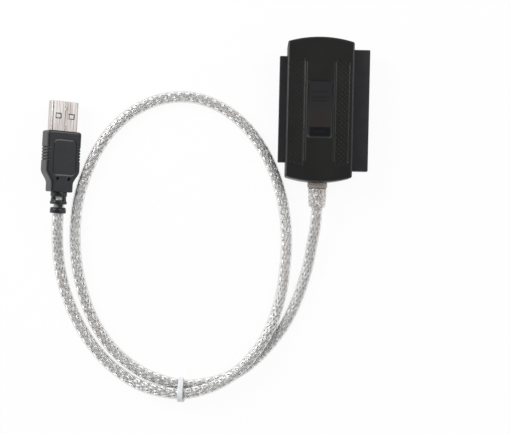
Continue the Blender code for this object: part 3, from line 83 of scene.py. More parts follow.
# %% Shader values
class Value:
    """A socket that takes part in sums: each operator adds one Math node."""

    def __init__(self, tree, socket):
        self.tree = tree
        self.socket = socket

    def math(self, operation, *others):
        node = self.tree.nodes.new("ShaderNodeMath")
        node.operation = operation
        for slot, item in enumerate((self, *others)):
            if isinstance(item, Value):
                self.tree.links.new(item.socket, node.inputs[slot])
            else:
                node.inputs[slot].default_value = item
        return Value(self.tree, node.outputs[0])

    def __add__(self, other):
        return self.math("ADD", other)

    def __sub__(self, other):
        return self.math("SUBTRACT", other)

    def __rsub__(self, other):
        return self.math("MULTIPLY_ADD", -1.0, other)

    def __mul__(self, other):
        return self.math("MULTIPLY", other)

    __radd__ = __add__
    __rmul__ = __mul__

    def at_most(self, other):
        return self.math("MINIMUM", other)

    def at_least(self, other):
        return self.math("MAXIMUM", other)

    def size(self):
        return self.math("ABSOLUTE")

    def step(self, low, high):
        """Rise smoothly from 0 at low to 1 at high, or fall where low is the larger."""
        node = self.tree.nodes.new("ShaderNodeMapRange")
        node.interpolation_type = "SMOOTHSTEP"
        self.tree.links.new(self.socket, node.inputs["Value"])
        turned = low > high
        node.inputs["From Min"].default_value = min(low, high)
        node.inputs["From Max"].default_value = max(low, high)
        node.inputs["To Min"].default_value = float(turned)
        node.inputs["To Max"].default_value = float(not turned)
        return Value(self.tree, node.outputs["Result"])


# %% Finishes
class Finish:
    """One material on a Principled shader, with a method that adds any node."""

    def __init__(self, name, colour, roughness, metallic=0.0, **constants):
        self.colour = colour
        self.material = bpy.data.materials.new(name)
        self.material.use_nodes = True
        self.tree = self.material.node_tree
        self.shader = self.tree.nodes["Principled BSDF"]
        self.shader.inputs["Base Color"].default_value = (*colour, 1.0)
        self.shader.inputs["Roughness"].default_value = roughness
        self.shader.inputs["Metallic"].default_value = metallic
        for socket, value in constants.items():
            self.shader.inputs[socket.replace("_", " ")].default_value = value

    def node(self, kind, settings=None, values=None, output=0):
        """Add a node: its settings first, then the values or links of its sockets."""
        node = self.tree.nodes.new(kind)
        for name, setting in (settings or {}).items():
            setattr(node, name, setting)
        for name, value in (values or {}).items():
            if isinstance(value, Value):
                self.tree.links.new(value.socket, node.inputs[name])
            else:
                node.inputs[name].default_value = value
        return Value(self.tree, node.outputs[output])

    def place(self, attribute=None):
        """Where the surface is: Object coordinates in metres, or the piece's own attribute."""
        if attribute:
            return self.node("ShaderNodeAttribute", {"attribute_name": attribute},
                             output="Vector")
        return self.node("ShaderNodeTexCoord", output="Object")

    def axes(self, vector):
        """The three numbers of a vector."""
        split = self.tree.nodes.new("ShaderNodeSeparateXYZ")
        self.tree.links.new(vector.socket, split.inputs[0])
        return [Value(self.tree, output) for output in split.outputs]

    def stretched(self, vector, factors):
        """A vector with each number multiplied by its own factor."""
        return self.node("ShaderNodeVectorMath", {"operation": "MULTIPLY"},
                         {0: vector, 1: factors})

    def noise(self, vector, scale, detail=3.0, roughness=0.5):
        values = {"Vector": vector, "Scale": scale, "Detail": detail, "Roughness": roughness}
        return self.node("ShaderNodeTexNoise", values=values)

    def mix(self, factor, first, second):
        """Colour between two colours, each a triple or a link."""
        node = self.tree.nodes.new("ShaderNodeMix")
        node.data_type = "RGBA"
        for name, value in (("Factor_Float", factor), ("A_Color", first), ("B_Color", second)):
            socket = next(item for item in node.inputs if item.identifier == name)
            if isinstance(value, Value):
                self.tree.links.new(value.socket, socket)
            else:
                socket.default_value = value if name == "Factor_Float" else (*value, 1.0)
        result = next(item for item in node.outputs if item.identifier == "Result_Color")
        return Value(self.tree, result)

    def box(self, x, y, centre, half, soft=0.1 * MM):
        """1 inside a rectangle of the plane and 0 outside it, with a soft edge."""
        over = ((x - centre[0]).size() - half[0]).at_least((y - centre[1]).size() - half[1])
        return over.step(soft, -soft)

    def feed(self, socket, value):
        self.tree.links.new(value.socket, self.shader.inputs[socket])

    def bump(self, height, strength, distance):
        values = {"Height": height, "Strength": strength, "Distance": distance}
        self.feed("Normal", self.node("ShaderNodeBump", values=values))

    def vary(self, scale, shade, roughness, grain=0.02 * MM):
        """Let colour and roughness drift a little, and add a fine grain."""
        where = self.place()
        drift = self.noise(where, scale)
        darker = tuple(channel * shade for channel in self.colour)
        self.feed("Base Color", self.mix(drift, darker, self.colour))
        self.feed("Roughness", drift * (roughness[1] - roughness[0]) + roughness[0])
        self.bump(self.noise(where, scale * 10), 0.3, grain)
        return self

    def veil(self, factor):
        """Let the surface show what lies behind it: factor is how much of it stays."""
        clear = self.tree.nodes.new("ShaderNodeBsdfTransparent")
        blend = self.tree.nodes.new("ShaderNodeMixShader")
        output = self.tree.nodes["Material Output"]
        self.tree.links.new(factor.socket, blend.inputs[0])
        self.tree.links.new(clear.outputs[0], blend.inputs[1])
        self.tree.links.new(self.shader.outputs[0], blend.inputs[2])
        self.tree.links.new(blend.outputs[0], output.inputs["Surface"])


# %% [markdown]
# The backdrop is a white sheet. The camera, mirrors and clear plastic see it as white, while a
# small share of real surface keeps the soft shadow under each piece. The light is a copy stand's:
# a bright room, and a broad lamp on each side, both a little towards the top of the picture. The
# ceiling right above is dim, because that is where the camera hangs, and so the flat black roof
# of the box stays darker than its rounded edges, which mirror the lamps. The wall on the right
# is a little dimmer too, so the plug's broad face and shell don't mirror it as plain white.

# %% World
MIRRORED_CEILING = 0.14
MIRRORED_RIGHT = 0.80
ROOM_LIGHT = 0.60


def white_for_rays(tree, strengths, below):
    """Mix a white glow over the shader below wherever a camera, mirror or clear ray looks."""
    paths = tree.nodes.new("ShaderNodeLightPath")
    seen = 0.0
    for name, strength in zip(("Is Camera Ray", "Is Glossy Ray", "Is Transmission Ray"),
                              strengths):
        seen = Value(tree, paths.outputs[name]) * strength + seen
    glow = tree.nodes.new("ShaderNodeEmission")
    blend = tree.nodes.new("ShaderNodeMixShader")
    tree.links.new(seen.at_most(1.0).socket, blend.inputs[0])
    tree.links.new(below, blend.inputs[1])
    tree.links.new(glow.outputs[0], blend.inputs[2])
    return blend.outputs[0]


world = bpy.data.worlds.new("studio")
bpy.context.scene.world = world
world.use_nodes = True
world_tree = world.node_tree
room = world_tree.nodes["Background"]
room.inputs["Color"].default_value = (1.0, 1.0, 1.0, 1.0)
room.inputs["Strength"].default_value = ROOM_LIGHT
ways = world_tree.nodes.new("ShaderNodeTexCoord")
split = world_tree.nodes.new("ShaderNodeSeparateXYZ")
world_tree.links.new(ways.outputs["Generated"], split.inputs[0])
ceiling = Value(world_tree, split.outputs["Z"]).step(0.50, 0.90)
right_wall = Value(world_tree, split.outputs["X"]).step(0.1, 0.8) * (1.0 - ceiling)
mirrored_room = 1.0 - ceiling * (1.0 - MIRRORED_CEILING) - right_wall * (1.0 - MIRRORED_RIGHT)
dim_room = world_tree.nodes.new("ShaderNodeEmission")
world_tree.links.new(mirrored_room.socket, dim_room.inputs["Strength"])
ray_paths = world_tree.nodes.new("ShaderNodeLightPath")
mirror_blend = world_tree.nodes.new("ShaderNodeMixShader")
world_tree.links.new(ray_paths.outputs["Is Glossy Ray"], mirror_blend.inputs[0])
world_tree.links.new(room.outputs[0], mirror_blend.inputs[1])
world_tree.links.new(dim_room.outputs[0], mirror_blend.inputs[2])
world_tree.links.new(white_for_rays(world_tree, (1.0, 0.0, 1.0), mirror_blend.outputs[0]),
                     world_tree.nodes["World Output"].inputs["Surface"])
print("world nodes:", len(world_tree.nodes))

# %% Lamps
LAMPS = (("left_lamp", (-0.50, 0.22, 0.34), 2.0), ("right_lamp", (0.46, 0.24, 0.50), 1.2))
LAMP_SIZE = (0.20, 0.46)

for lamp_name, lamp_at, watts in LAMPS:
    lamp_data = bpy.data.lights.new(lamp_name, "AREA")
    lamp_data.shape = "RECTANGLE"
    lamp_data.size, lamp_data.size_y = LAMP_SIZE
    lamp_data.energy = watts
    lamp = bpy.data.objects.new(lamp_name, lamp_data)
    lamp.location = lamp_at
    aim = Vector((*CAMERA_AT, 0.0)) - Vector(lamp_at)
    lamp.rotation_euler = aim.to_track_quat("-Z", "Y").to_euler()
    bpy.context.scene.collection.objects.link(lamp)
print("lamps:", [name for name, _, _ in LAMPS])

# %% Floor
FLOOR_HALF = 3.0
FLOOR_DROP = 0.02 * MM
SHADOW_SHARE = 0.07
MIRRORED_FLOOR = 0.75

sheet = Finish("white_sheet", (0.95, 0.95, 0.95), 0.9)
sheet.tree.links.new(
    white_for_rays(sheet.tree, (1.0 - SHADOW_SHARE, MIRRORED_FLOOR, 1.0),
                   sheet.shader.outputs[0]),
    sheet.tree.nodes["Material Output"].inputs["Surface"])
floor_mesh = bpy.data.meshes.new("floor")
corners = ((-1, -1), (1, -1), (1, 1), (-1, 1))
floor_mesh.from_pydata([(x * FLOOR_HALF, y * FLOOR_HALF, -FLOOR_DROP) for x, y in corners],
                       [], [(0, 1, 2, 3)])
floor_mesh.materials.append(sheet.material)
floor = bpy.data.objects.new("floor", floor_mesh)
bpy.context.scene.collection.objects.link(floor)
print("floor side in metres:", 2 * FLOOR_HALF)

# %% [markdown]
# Every new surface here is a grid of points: rows run one way over the surface and columns the
# other. One helper numbers its quads, and others seat the finished object on its body and turn
# its faces outwards.

# %% Grids and pieces
def grid_faces(rows, columns, close_rows=False, close_columns=True):
    """Quads between neighbouring points of a grid, numbered row by row."""
    row = np.arange(rows if close_rows else rows - 1)
    column = np.arange(columns if close_columns else columns - 1)
    row, column = np.meshgrid(row, column, indexing="ij")
    here = row * columns + column
    beside = row * columns + (column + 1) % columns
    above = ((row + 1) % rows) * columns + column
    corner = ((row + 1) % rows) * columns + (column + 1) % columns
    return np.stack([here, beside, corner, above], axis=-1).reshape(-1, 4)


def new_piece(name, points, faces, finish, slot):
    """Mesh object at the origin, from an array of points and a list of faces."""
    mesh = bpy.data.meshes.new(name)
    faces = [face.tolist() if isinstance(face, np.ndarray) else list(face) for face in faces]
    mesh.from_pydata(np.asarray(points, dtype=float).reshape(-1, 3).tolist(), [], faces)
    mesh.update()
    mesh.shade_smooth()
    mesh.materials.append(finish.material)
    return seat(bpy.data.objects.new(name, mesh))


def seat(piece):
    """Link a piece and let it ride on the one body."""
    bpy.context.scene.collection.objects.link(piece)
    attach(piece, "root")
    return piece


# %% Normals and attributes
def tidy_normals(piece, sharp_angle, flat_angle=None):
    """Merge doubles, turn every face outwards and keep the edges above an angle crisp."""
    data = bmesh.new()
    data.from_mesh(piece.data)
    bmesh.ops.remove_doubles(data, verts=data.verts, dist=0.0005 * MM)
    if flat_angle:
        bmesh.ops.dissolve_limit(data, angle_limit=flat_angle, verts=data.verts,
                                 edges=data.edges)
    bmesh.ops.recalc_face_normals(data, faces=data.faces)
    data.to_mesh(piece.data)
    data.free()
    piece.data.shade_smooth()
    piece.data.set_sharp_from_angle(angle=sharp_angle)
    print(piece.name, len(piece.data.polygons), "faces")


def set_attribute(piece, name, values):
    """Keep one vector for each point of a mesh, for its material to read."""
    layer = piece.data.attributes.new(name, "FLOAT_VECTOR", "POINT")
    layer.data.foreach_set("vector", np.asarray(values, dtype=np.float32).ravel())


def point_places(piece):
    """The mesh's points as an array."""
    places = np.empty(len(piece.data.vertices) * 3)
    piece.data.vertices.foreach_get("co", places)
    return places.reshape(-1, 3)


# %% [markdown]
# The cable leaves the box, sinks to the table, runs round nearly twice and ends in the plug. On
# its second turn it climbs over the first in a long low hump, and the tie holds both there. Its
# line is a list of given points, joined by a smooth Catmull-Rom curve. A Blender curve
# object could follow them too, but the braid needs the line's own cross directions at each
# point: one kept level, and one square to it, so that nothing on the cable ever spins.

# %% Cable route
CABLE_DIAMETER = 4.8 * MM
CABLE_ROUTE = np.array([
    (0.0000, -0.0266, 0.0080), (0.0000, -0.0345, 0.0080), (0.0000, -0.0425, 0.0079),
    (-0.0004, -0.0490, 0.0069), (-0.0014, -0.0564, 0.0048), (-0.0028, -0.0654, 0.0029),
    (-0.0050, -0.0741, 0.0025), (-0.0079, -0.0825, 0.0025), (-0.0117, -0.0907, 0.0025),
    (-0.0168, -0.0984, 0.0025), (-0.0229, -0.1055, 0.0025), (-0.0302, -0.1118, 0.0025),
    (-0.0389, -0.1162, 0.0026), (-0.0482, -0.1185, 0.0032), (-0.0565, -0.1189, 0.0036),
    (-0.0668, -0.1165, 0.0032), (-0.0757, -0.1127, 0.0025), (-0.0853, -0.1053, 0.0025),
    (-0.0924, -0.0964, 0.0025), (-0.0974, -0.0868, 0.0025), (-0.1006, -0.0773, 0.0025),
    (-0.1027, -0.0681, 0.0025), (-0.1037, -0.0588, 0.0025), (-0.1037, -0.0494, 0.0025),
    (-0.1026, -0.0396, 0.0025), (-0.0998, -0.0297, 0.0025), (-0.0954, -0.0194, 0.0025),
    (-0.0887, -0.0094, 0.0025), (-0.0792, -0.0010, 0.0025), (-0.0672, 0.0043, 0.0025),
    (-0.0541, 0.0051, 0.0025), (-0.0416, 0.0010, 0.0025), (-0.0313, -0.0067, 0.0025),
    (-0.0236, -0.0164, 0.0025), (-0.0184, -0.0267, 0.0025), (-0.0150, -0.0369, 0.0025),
    (-0.0131, -0.0469, 0.0025), (-0.0124, -0.0567, 0.0025), (-0.0128, -0.0666, 0.0026),
    (-0.0139, -0.0768, 0.0029), (-0.0164, -0.0872, 0.0041), (-0.0196, -0.0955, 0.0060),
    (-0.0243, -0.1032, 0.0072), (-0.0305, -0.1103, 0.0077), (-0.0384, -0.1163, 0.0078),
    (-0.0476, -0.1202, 0.0079), (-0.0565, -0.1219, 0.0076), (-0.0675, -0.1208, 0.0062),
    (-0.0772, -0.1178, 0.0038), (-0.0881, -0.1104, 0.0026), (-0.0965, -0.1010, 0.0025),
    (-0.1027, -0.0909, 0.0025), (-0.1072, -0.0804, 0.0025), (-0.1099, -0.0698, 0.0029),
    (-0.1108, -0.0616, 0.0040), (-0.1108, -0.0535, 0.0060), (-0.1105, -0.0455, 0.0069),
    (-0.1101, -0.0345, 0.0069),
])
LINE_STEP = 0.65 * MM


def smooth_line(route, step):
    """Evenly spaced points on the Catmull-Rom curve through a route, and their lengths along it.

    Between points b and c, with a before and d after, the curve at t is
    (2b + (c - a) t + (2a - 5b + 4c - d) t^2 + (3b - a - 3c + d) t^3) / 2.
    """
    ends = np.vstack([2 * route[0] - route[1], route, 2 * route[-1] - route[-2]])
    a, b, c, d = ends[:-3, None], ends[1:-2, None], ends[2:-1, None], ends[3:, None]
    t = np.linspace(0, 1, 40, endpoint=False)[None, :, None]
    curve = (2 * b + (c - a) * t + (2 * a - 5 * b + 4 * c - d) * t ** 2
             + (3 * b - a - 3 * c + d) * t ** 3) / 2
    dense = np.vstack([curve.reshape(-1, 3), route[-1]])
    along = np.concatenate([[0], np.cumsum(np.linalg.norm(np.diff(dense, axis=0), axis=1))])
    wanted = np.linspace(0, along[-1], int(along[-1] / step) + 1)
    line = np.stack([np.interp(wanted, along, dense[:, axis]) for axis in range(3)], axis=1)
    return line, wanted


cable_line, cable_along = smooth_line(CABLE_ROUTE, LINE_STEP)
cable_way = np.gradient(cable_line, axis=0)
cable_way /= np.linalg.norm(cable_way, axis=1, keepdims=True)
cable_side = np.cross(cable_way, (0.0, 0.0, 1.0))
cable_side /= np.linalg.norm(cable_side, axis=1, keepdims=True)
cable_up = np.cross(cable_side, cable_way)

# %% [markdown]
# Under the clear vinyl lies a tinned braid: eight bands of wires wind one way and eight the
# other, each passing over one band and under the next. The weave could be painted as bump, but
# it is coarse enough here to see, so each wire is real: a thin four-sided tube on a helix whose
# radius swells and sinks once per crossing. Inside the moulded sleeve at the box the braid looks
# wider, because the round clear plastic magnifies it, and its radius grows there to match.

# %% Braid wires
BRAID_RADIUS = 1.90 * MM
MAGNIFIED_RADIUS = 3.25 * MM
SLEEVE_END = 14.2 * MM
SLEEVE_BLEND = 1.4 * MM
BRAID_SWELL = 0.12 * MM
WIRE_RADIUS = 0.135 * MM
WIRE_PITCH = 0.30 * MM
WIRES_PER_BAND = 3
BANDS = 8
BRAID_LAY = 31 * MM
WIRE_SIDES = 4


def step_down(distance, width):
    """1 inside an edge and 0 outside it, with a soft wall as wide as asked."""
    share = np.clip(0.5 - distance / width, 0, 1)
    return share * share * (3 - 2 * share)


def braid_points(hand):
    """All wires of the bands that wind one way: wires, places along each, and corners.

    A wire of band k lies at the angle hand 2 pi s / lay + 2 pi k / 8 + its own offset, and at
    radius R + hand swell cos(16 pi s / lay), so it is over at every other crossing.
    """
    in_sleeve = step_down(cable_along - SLEEVE_END, SLEEVE_BLEND)
    middle = BRAID_RADIUS + (MAGNIFIED_RADIUS - BRAID_RADIUS) * in_sleeve
    band = np.arange(BANDS)[:, None]
    wire = (np.arange(WIRES_PER_BAND) - (WIRES_PER_BAND - 1) / 2)[None, :]
    start = (2 * math.pi * band / BANDS + wire * WIRE_PITCH / BRAID_RADIUS).reshape(-1, 1)
    angle = start + hand * 2 * math.pi * cable_along[None, :] / BRAID_LAY
    swell = hand * BRAID_SWELL * np.cos(2 * math.pi * BANDS * cable_along / BRAID_LAY)
    radius = np.broadcast_to((middle + swell)[None, :], angle.shape)[..., None]
    outward = (cable_side[None] * np.cos(angle)[..., None]
               + cable_up[None] * np.sin(angle)[..., None])
    centre = cable_line[None] + radius * outward
    along = np.gradient(centre, axis=1)
    along /= np.linalg.norm(along, axis=2, keepdims=True)
    across = np.cross(outward, along)
    turn = np.linspace(0, 2 * math.pi, WIRE_SIDES, endpoint=False)[None, None, :, None]
    return (centre[:, :, None] + WIRE_RADIUS * (outward[:, :, None] * np.cos(turn)
                                                + across[:, :, None] * np.sin(turn)))


def make_braid(name, hand, finish):
    points = braid_points(hand)
    wires, rows, sides = points.shape[:3]
    starts = (np.arange(wires) * rows * sides)[:, None]
    walls = (grid_faces(rows, sides)[None] + starts[..., None]).reshape(-1, 4)
    near = starts + np.arange(sides)[None, ::-1]
    far = starts + (rows - 1) * sides + np.arange(sides)[None]
    piece = new_piece(name, points, [*walls, *near, *far], finish, "tinned_copper")
    print(name, wires, "wires,", 2 * len(walls), "triangles")
    return piece


tinned = Finish("tinned_braid", (0.90, 0.89, 0.88), 0.34, 1.0)
wire_place = tinned.place()
tinned.feed("Roughness", tinned.noise(wire_place, 900.0) * 0.20 + 0.31)
tarnish = tinned.noise(wire_place, 1300.0, 1.0).step(0.38, 0.52)
tinned.feed("Base Color", tinned.mix(tarnish, (0.84, 0.835, 0.825), (1.0, 1.0, 0.995)))
braid_right = make_braid("braid_right", 1, tinned)
braid_left = make_braid("braid_left", -1, tinned)

# %% [markdown]
# Inside the braid lie four coloured cores in a thin wrap. They only show as a faint warm or
# green tint between the wires, so the core is one tube whose colour follows a slow helix, kept
# as an attribute of its points. The jacket over all is a clear tube that turns greyer towards
# its edges, which is what thick clear vinyl does.

# %% Core and jacket
CORE_RADIUS = 1.66 * MM
CORE_LAY = 74 * MM


def capped_tube(name, radius, sides, finish):
    """Round tube on the cable's line: line + radius (cos a side + sin a up), closed at its ends."""
    angle = np.linspace(0, 2 * math.pi, sides, endpoint=False)[None, :, None]
    points = cable_line[:, None] + radius * (cable_side[:, None] * np.cos(angle)
                                             + cable_up[:, None] * np.sin(angle))
    last = (len(cable_line) - 1) * sides
    faces = [*grid_faces(len(cable_line), sides), np.arange(sides)[::-1],
             last + np.arange(sides)]
    return new_piece(name, points, faces, finish, "cable_jacket"), angle[0, :, 0]


core_wrap = Finish("core_wrap", (0.40, 0.39, 0.37), 0.5)
turning, level, _ = core_wrap.axes(core_wrap.place("helix"))
warm = core_wrap.mix(turning.step(0.55, 0.95), (0.56, 0.55, 0.535), (0.62, 0.49, 0.455))
green = core_wrap.mix(turning.step(-0.55, -0.95), warm, (0.50, 0.555, 0.49))
pale = core_wrap.mix(level.step(0.55, 0.95), green, (0.80, 0.79, 0.77))
core_wrap.feed("Base Color", core_wrap.mix(level.step(-0.55, -0.95), pale, (0.42, 0.41, 0.40)))
core_wrap.feed("Roughness", core_wrap.noise(core_wrap.place(), 700.0) * 0.3 + 0.35)
cable_core, core_angle = capped_tube("cable_core", CORE_RADIUS, 16, core_wrap)
helix = core_angle[None, :] - 2 * math.pi * cable_along[:, None] / CORE_LAY
set_attribute(cable_core, "helix", np.stack([np.cos(helix), np.sin(helix), 0 * helix], axis=-1))

jacket = Finish("clear_jacket", (0.15, 0.15, 0.155), 0.12)
jacket_edge = jacket.node("ShaderNodeLayerWeight", values={"Blend": 0.50}, output="Facing")
jacket.feed("Roughness", jacket.noise(jacket.place(), 300.0) * 0.20 + 0.14)
jacket.veil(jacket_edge.step(0.60, 0.96) * 0.85 + 0.03)
cable_jacket, _ = capped_tube("cable_jacket", CABLE_DIAMETER / 2, 28, jacket)
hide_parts("cable")
print("jacket faces:", len(cable_jacket.data.polygons))

# %% [markdown]
# The box is two moulded covers that meet at mid height. Its long sides are straight and its ends
# bow out, with small round corners between. A boolean of plates would give the outline, but
# hard edges with it. Here the roof is one grid whose columns run from end to end of the plan,
# and rings that start on the grid's rim carry on down over the rounded edge and the wall.

# %% Plan of the covers
HOUSING_HEIGHT = 16 * MM
PARTING_HEIGHT = 8 * MM
PARTING_GAP = 0.2 * MM
HALF_LENGTH = 30.5 * MM
HALF_WIDTH = 14 * MM
END_RADIUS = 48 * MM
CORNER_RADIUS = 0.9 * MM
CORNER_STEPS = 5
STRAIGHT_TO = 26.6 * MM
FILLET = 0.8 * MM
FILLET_STEPS = 6
WALL = 1.6 * MM
RIM_WIDTH = 0.8 * MM


def sample_lines(low, high, step, edges=(), margin=0.06 * MM):
    """Sorted places from low to high: an even run, and a close pair at each listed edge."""
    even = np.linspace(low, high, max(2, int(round((high - low) / step)) + 1))
    pairs = np.array([edge + side * margin for edge in edges for side in (-1, 1)])
    if len(pairs):
        clear = np.abs(even[:, None] - pairs[None]).min(axis=1) > margin
        clear[[0, -1]] = True
        even = even[clear]
    return np.unique(np.concatenate([even, pairs]))


def bowed_end(x, inset=0.0):
    """How far the bowed end reaches at x: L/2 - R + sqrt((R - inset)^2 - x^2)."""
    return HALF_LENGTH - END_RADIUS + np.sqrt((END_RADIUS - inset) ** 2 - x ** 2)


def end_columns(inset, lines):
    """Columns of the plan: x, the end's y there and the direction out of the plan.

    A corner arc of radius c - inset joins the bowed end to each straight side.
    """
    arc_y = HALF_LENGTH - END_RADIUS
    centre_x = HALF_WIDTH - CORNER_RADIUS
    centre_y = arc_y + math.sqrt((END_RADIUS - CORNER_RADIUS) ** 2 - centre_x ** 2)
    meet = math.atan2(centre_y - arc_y, centre_x)
    turn = np.linspace(meet, 0, CORNER_STEPS + 1)
    corner = CORNER_RADIUS - inset
    corner_x = centre_x + corner * np.cos(turn)
    corner_y = centre_y + corner * np.sin(turn)
    bow_x = lines[np.abs(lines) < corner_x[0] - inset / 50]
    bow_y = bowed_end(bow_x, inset)
    radius = END_RADIUS - inset
    x = np.concatenate([-corner_x[::-1], bow_x, corner_x])
    y = np.concatenate([corner_y[::-1], bow_y, corner_y])
    out_x = np.concatenate([-np.cos(turn[::-1]), bow_x / radius, np.cos(turn)])
    out_y = np.concatenate([np.sin(turn[::-1]), (bow_y - arc_y) / radius, np.sin(turn)])
    return x, y, out_x, out_y


def roof_grid(x, end_y, lines_y):
    """Grid of the roof: rows are straight up to STRAIGHT_TO, then bend to follow the ends."""
    past = np.clip((np.abs(lines_y) - STRAIGHT_TO) / (lines_y.max() - STRAIGHT_TO), 0, 1)[:, None]
    reach = np.minimum(np.abs(lines_y), STRAIGHT_TO)[:, None]
    grid_y = np.sign(lines_y)[:, None] * (reach + past * (end_y - STRAIGHT_TO)[None])
    return np.broadcast_to(x, grid_y.shape), grid_y


print("bow of the ends in mm:", round((bowed_end(0.0) - bowed_end(HALF_WIDTH)) / MM, 2))

# %% Shell of a cover
def make_cover(name, lines, face, up, fillet, relief, edge_height, finish):
    """Shell of one cover, with its rim as rings of points.

    The face's height is face - up relief(x, y). Ring k lies at an inset of fillet (1 - sin a)
    and a drop of fillet (1 - cos a). The wall then goes straight to the edge height, and an
    inner wall comes back to the underside of the face, which closes it.
    """
    x, end_y, out_x, out_y = end_columns(fillet, lines[0])
    grid_x, grid_y = roof_grid(x, end_y, lines[1])
    rows, columns = grid_y.shape
    roof = np.stack([grid_x, grid_y, face - up * relief(grid_x, grid_y)], axis=-1).reshape(-1, 3)
    right = np.arange(1, rows) * columns + columns - 1
    left = np.arange(rows - 2, 0, -1) * columns
    rim = np.concatenate([np.arange(columns), right,
                          (rows - 1) * columns + np.arange(columns - 2, -1, -1), left])
    out = np.concatenate([np.stack([out_x, -out_y], 1), np.tile((1.0, 0.0), (len(right), 1)),
                          np.stack([out_x, out_y], 1)[columns - 2::-1],
                          np.tile((-1.0, 0.0), (len(left), 1))])
    edge = edge_height(*(roof[rim, :2] + out * fillet).T)
    angles = np.linspace(0, math.pi / 2, FILLET_STEPS + 1)[1:]
    rings = [(fillet * (1 - math.sin(angle)), face - up * fillet * (1 - math.cos(angle)))
             for angle in angles]
    rings += [(0.0, edge + up * 0.12 * MM), (0.1 * MM, edge), (RIM_WIDTH, edge),
              (RIM_WIDTH, face - up * WALL)]
    points = [roof]
    for inset, height in rings:
        place = roof[rim, :2] + out * (fillet - inset)
        points.append(np.column_stack([place, np.broadcast_to(height, len(place))]))
    around = np.arange(len(rim))
    beside = np.roll(around, -1)
    loops = [rim] + [len(roof) + number * len(rim) + around for number in range(len(rings))]
    faces = [grid_faces(rows, columns, close_columns=False)]
    faces += [np.stack([upper, lower, lower[beside], upper[beside]], axis=-1)
              for upper, lower in zip(loops, loops[1:])]
    quads = [quad for group in faces for quad in group.tolist()]
    piece = new_piece(name, np.concatenate(points), [*quads, loops[-1].tolist()], finish,
                      "housing_plastic")
    tidy_normals(piece, math.radians(32))
    return piece


# %% [markdown]
# The roof carries a sunken label field, a low rail on each side of it, and two grip panels of
# small pyramids whose ends follow the bow of the box. Each is a distance and a depth, so one
# sum over the grid makes them all. Real knurling runs on the diagonal, so the pyramids do too.

# %% Roof relief
LABEL_HALF = (5.25 * MM, 12.1 * MM)
LABEL_CORNER = 1.6 * MM
LABEL_DEPTH = 0.3 * MM
GRIP_INNER = 6.8 * MM
GRIP_WIDTH = 5.4 * MM
GRIP_TOP = 21.5 * MM
GRIP_BOTTOM = -23.8 * MM
GRIP_DEPTH = 0.5 * MM
PYRAMID_HEIGHT = 0.13 * MM
PYRAMID_CELL = (1.08 * MM, 1.0 * MM)
RAIL_AT = 6.14 * MM
RAIL_WIDTH = 0.75 * MM
RAIL_HEIGHT = 0.12 * MM
SOFT_WALL = 0.16 * MM


def round_box_distance(x, y, half_x, half_y, corner):
    """Distance from a rectangle with round corners: negative inside, positive outside."""
    over_x = np.abs(x) - half_x + corner
    over_y = np.abs(y) - half_y + corner
    outside = np.hypot(np.maximum(over_x, 0), np.maximum(over_y, 0))
    return outside + np.minimum(np.maximum(over_x, over_y), 0) - corner


def ridge(share):
    """A saw of straight slopes: 1 at every whole number and 0 half way between."""
    return 2 * np.abs(np.mod(share, 1) - 0.5)


def roof_relief(x, y):
    """Depth below the roof: label, rails, and pyramids on the floor of each grip panel."""
    side = np.abs(x)
    label = step_down(round_box_distance(x, y, *LABEL_HALF, LABEL_CORNER), SOFT_WALL)
    rail_end = np.maximum(y - GRIP_TOP, GRIP_BOTTOM - y) + LABEL_CORNER
    rail = step_down(np.maximum(np.abs(side - RAIL_AT) - RAIL_WIDTH / 2, rail_end), 2 * SOFT_WALL)
    top = bowed_end(x) - (HALF_LENGTH - GRIP_TOP)
    bottom = (HALF_LENGTH + GRIP_BOTTOM) - bowed_end(x)
    across = np.abs(side - GRIP_INNER - GRIP_WIDTH / 2) - GRIP_WIDTH / 2
    grip = step_down(np.maximum(across, np.maximum(y - top, bottom - y)), SOFT_WALL)
    cell_x = (side - GRIP_INNER) / (2 * PYRAMID_CELL[0])
    cell_y = (y - GRIP_BOTTOM) / (2 * PYRAMID_CELL[1])
    pyramid = PYRAMID_HEIGHT * np.minimum(ridge(cell_x + cell_y), ridge(cell_x - cell_y))
    return LABEL_DEPTH * label - RAIL_HEIGHT * rail + grip * (GRIP_DEPTH - pyramid)


print("rail height in mm:", round(-float(roof_relief(np.array(RAIL_AT), np.array(0.0))) / MM, 2))

# %% Openings in the walls
SOCKET_CENTRE = 0.3 * MM
IDE40_OPENING = (25.9 * MM, 2.85 * MM)
IDE44_OPENING = (22.9 * MM, 2.3 * MM)
SATA_OPENING = (8.75 * MM, 3.55 * MM)
RELIEF_OPENING = 3.7 * MM


def opening_reach(x, y):
    """Half height of the opening in the wall at each point of the rim, 0 where it is whole."""
    straight = np.abs(x) > HALF_WIDTH - 0.01 * MM
    from_centre = np.abs(y - SOCKET_CENTRE)
    round_hole = np.sqrt(np.maximum(RELIEF_OPENING ** 2 - x ** 2, 0))
    places = [straight & (x > 0) & (from_centre < IDE40_OPENING[0]),
              straight & (x < 0) & (from_centre < IDE44_OPENING[0]),
              ~straight & (y > 0) & (np.abs(x) < SATA_OPENING[0]),
              ~straight & (y < 0)]
    return np.select(places, [IDE40_OPENING[1], IDE44_OPENING[1], SATA_OPENING[1], round_hole], 0)


opening_x = sample_lines(-9 * MM, 9 * MM, 1.2 * MM,
                         [side * place for side in (-1, 1)
                          for place in (SATA_OPENING[0], RELIEF_OPENING)], 0.01 * MM)
opening_y = np.array([SOCKET_CENTRE + side * opening[0] + nudge for side in (-1, 1)
                      for opening in (IDE40_OPENING, IDE44_OPENING)
                      for nudge in (-0.01 * MM, 0.01 * MM)])
print("columns for openings:", len(opening_x), "rows:", len(opening_y))
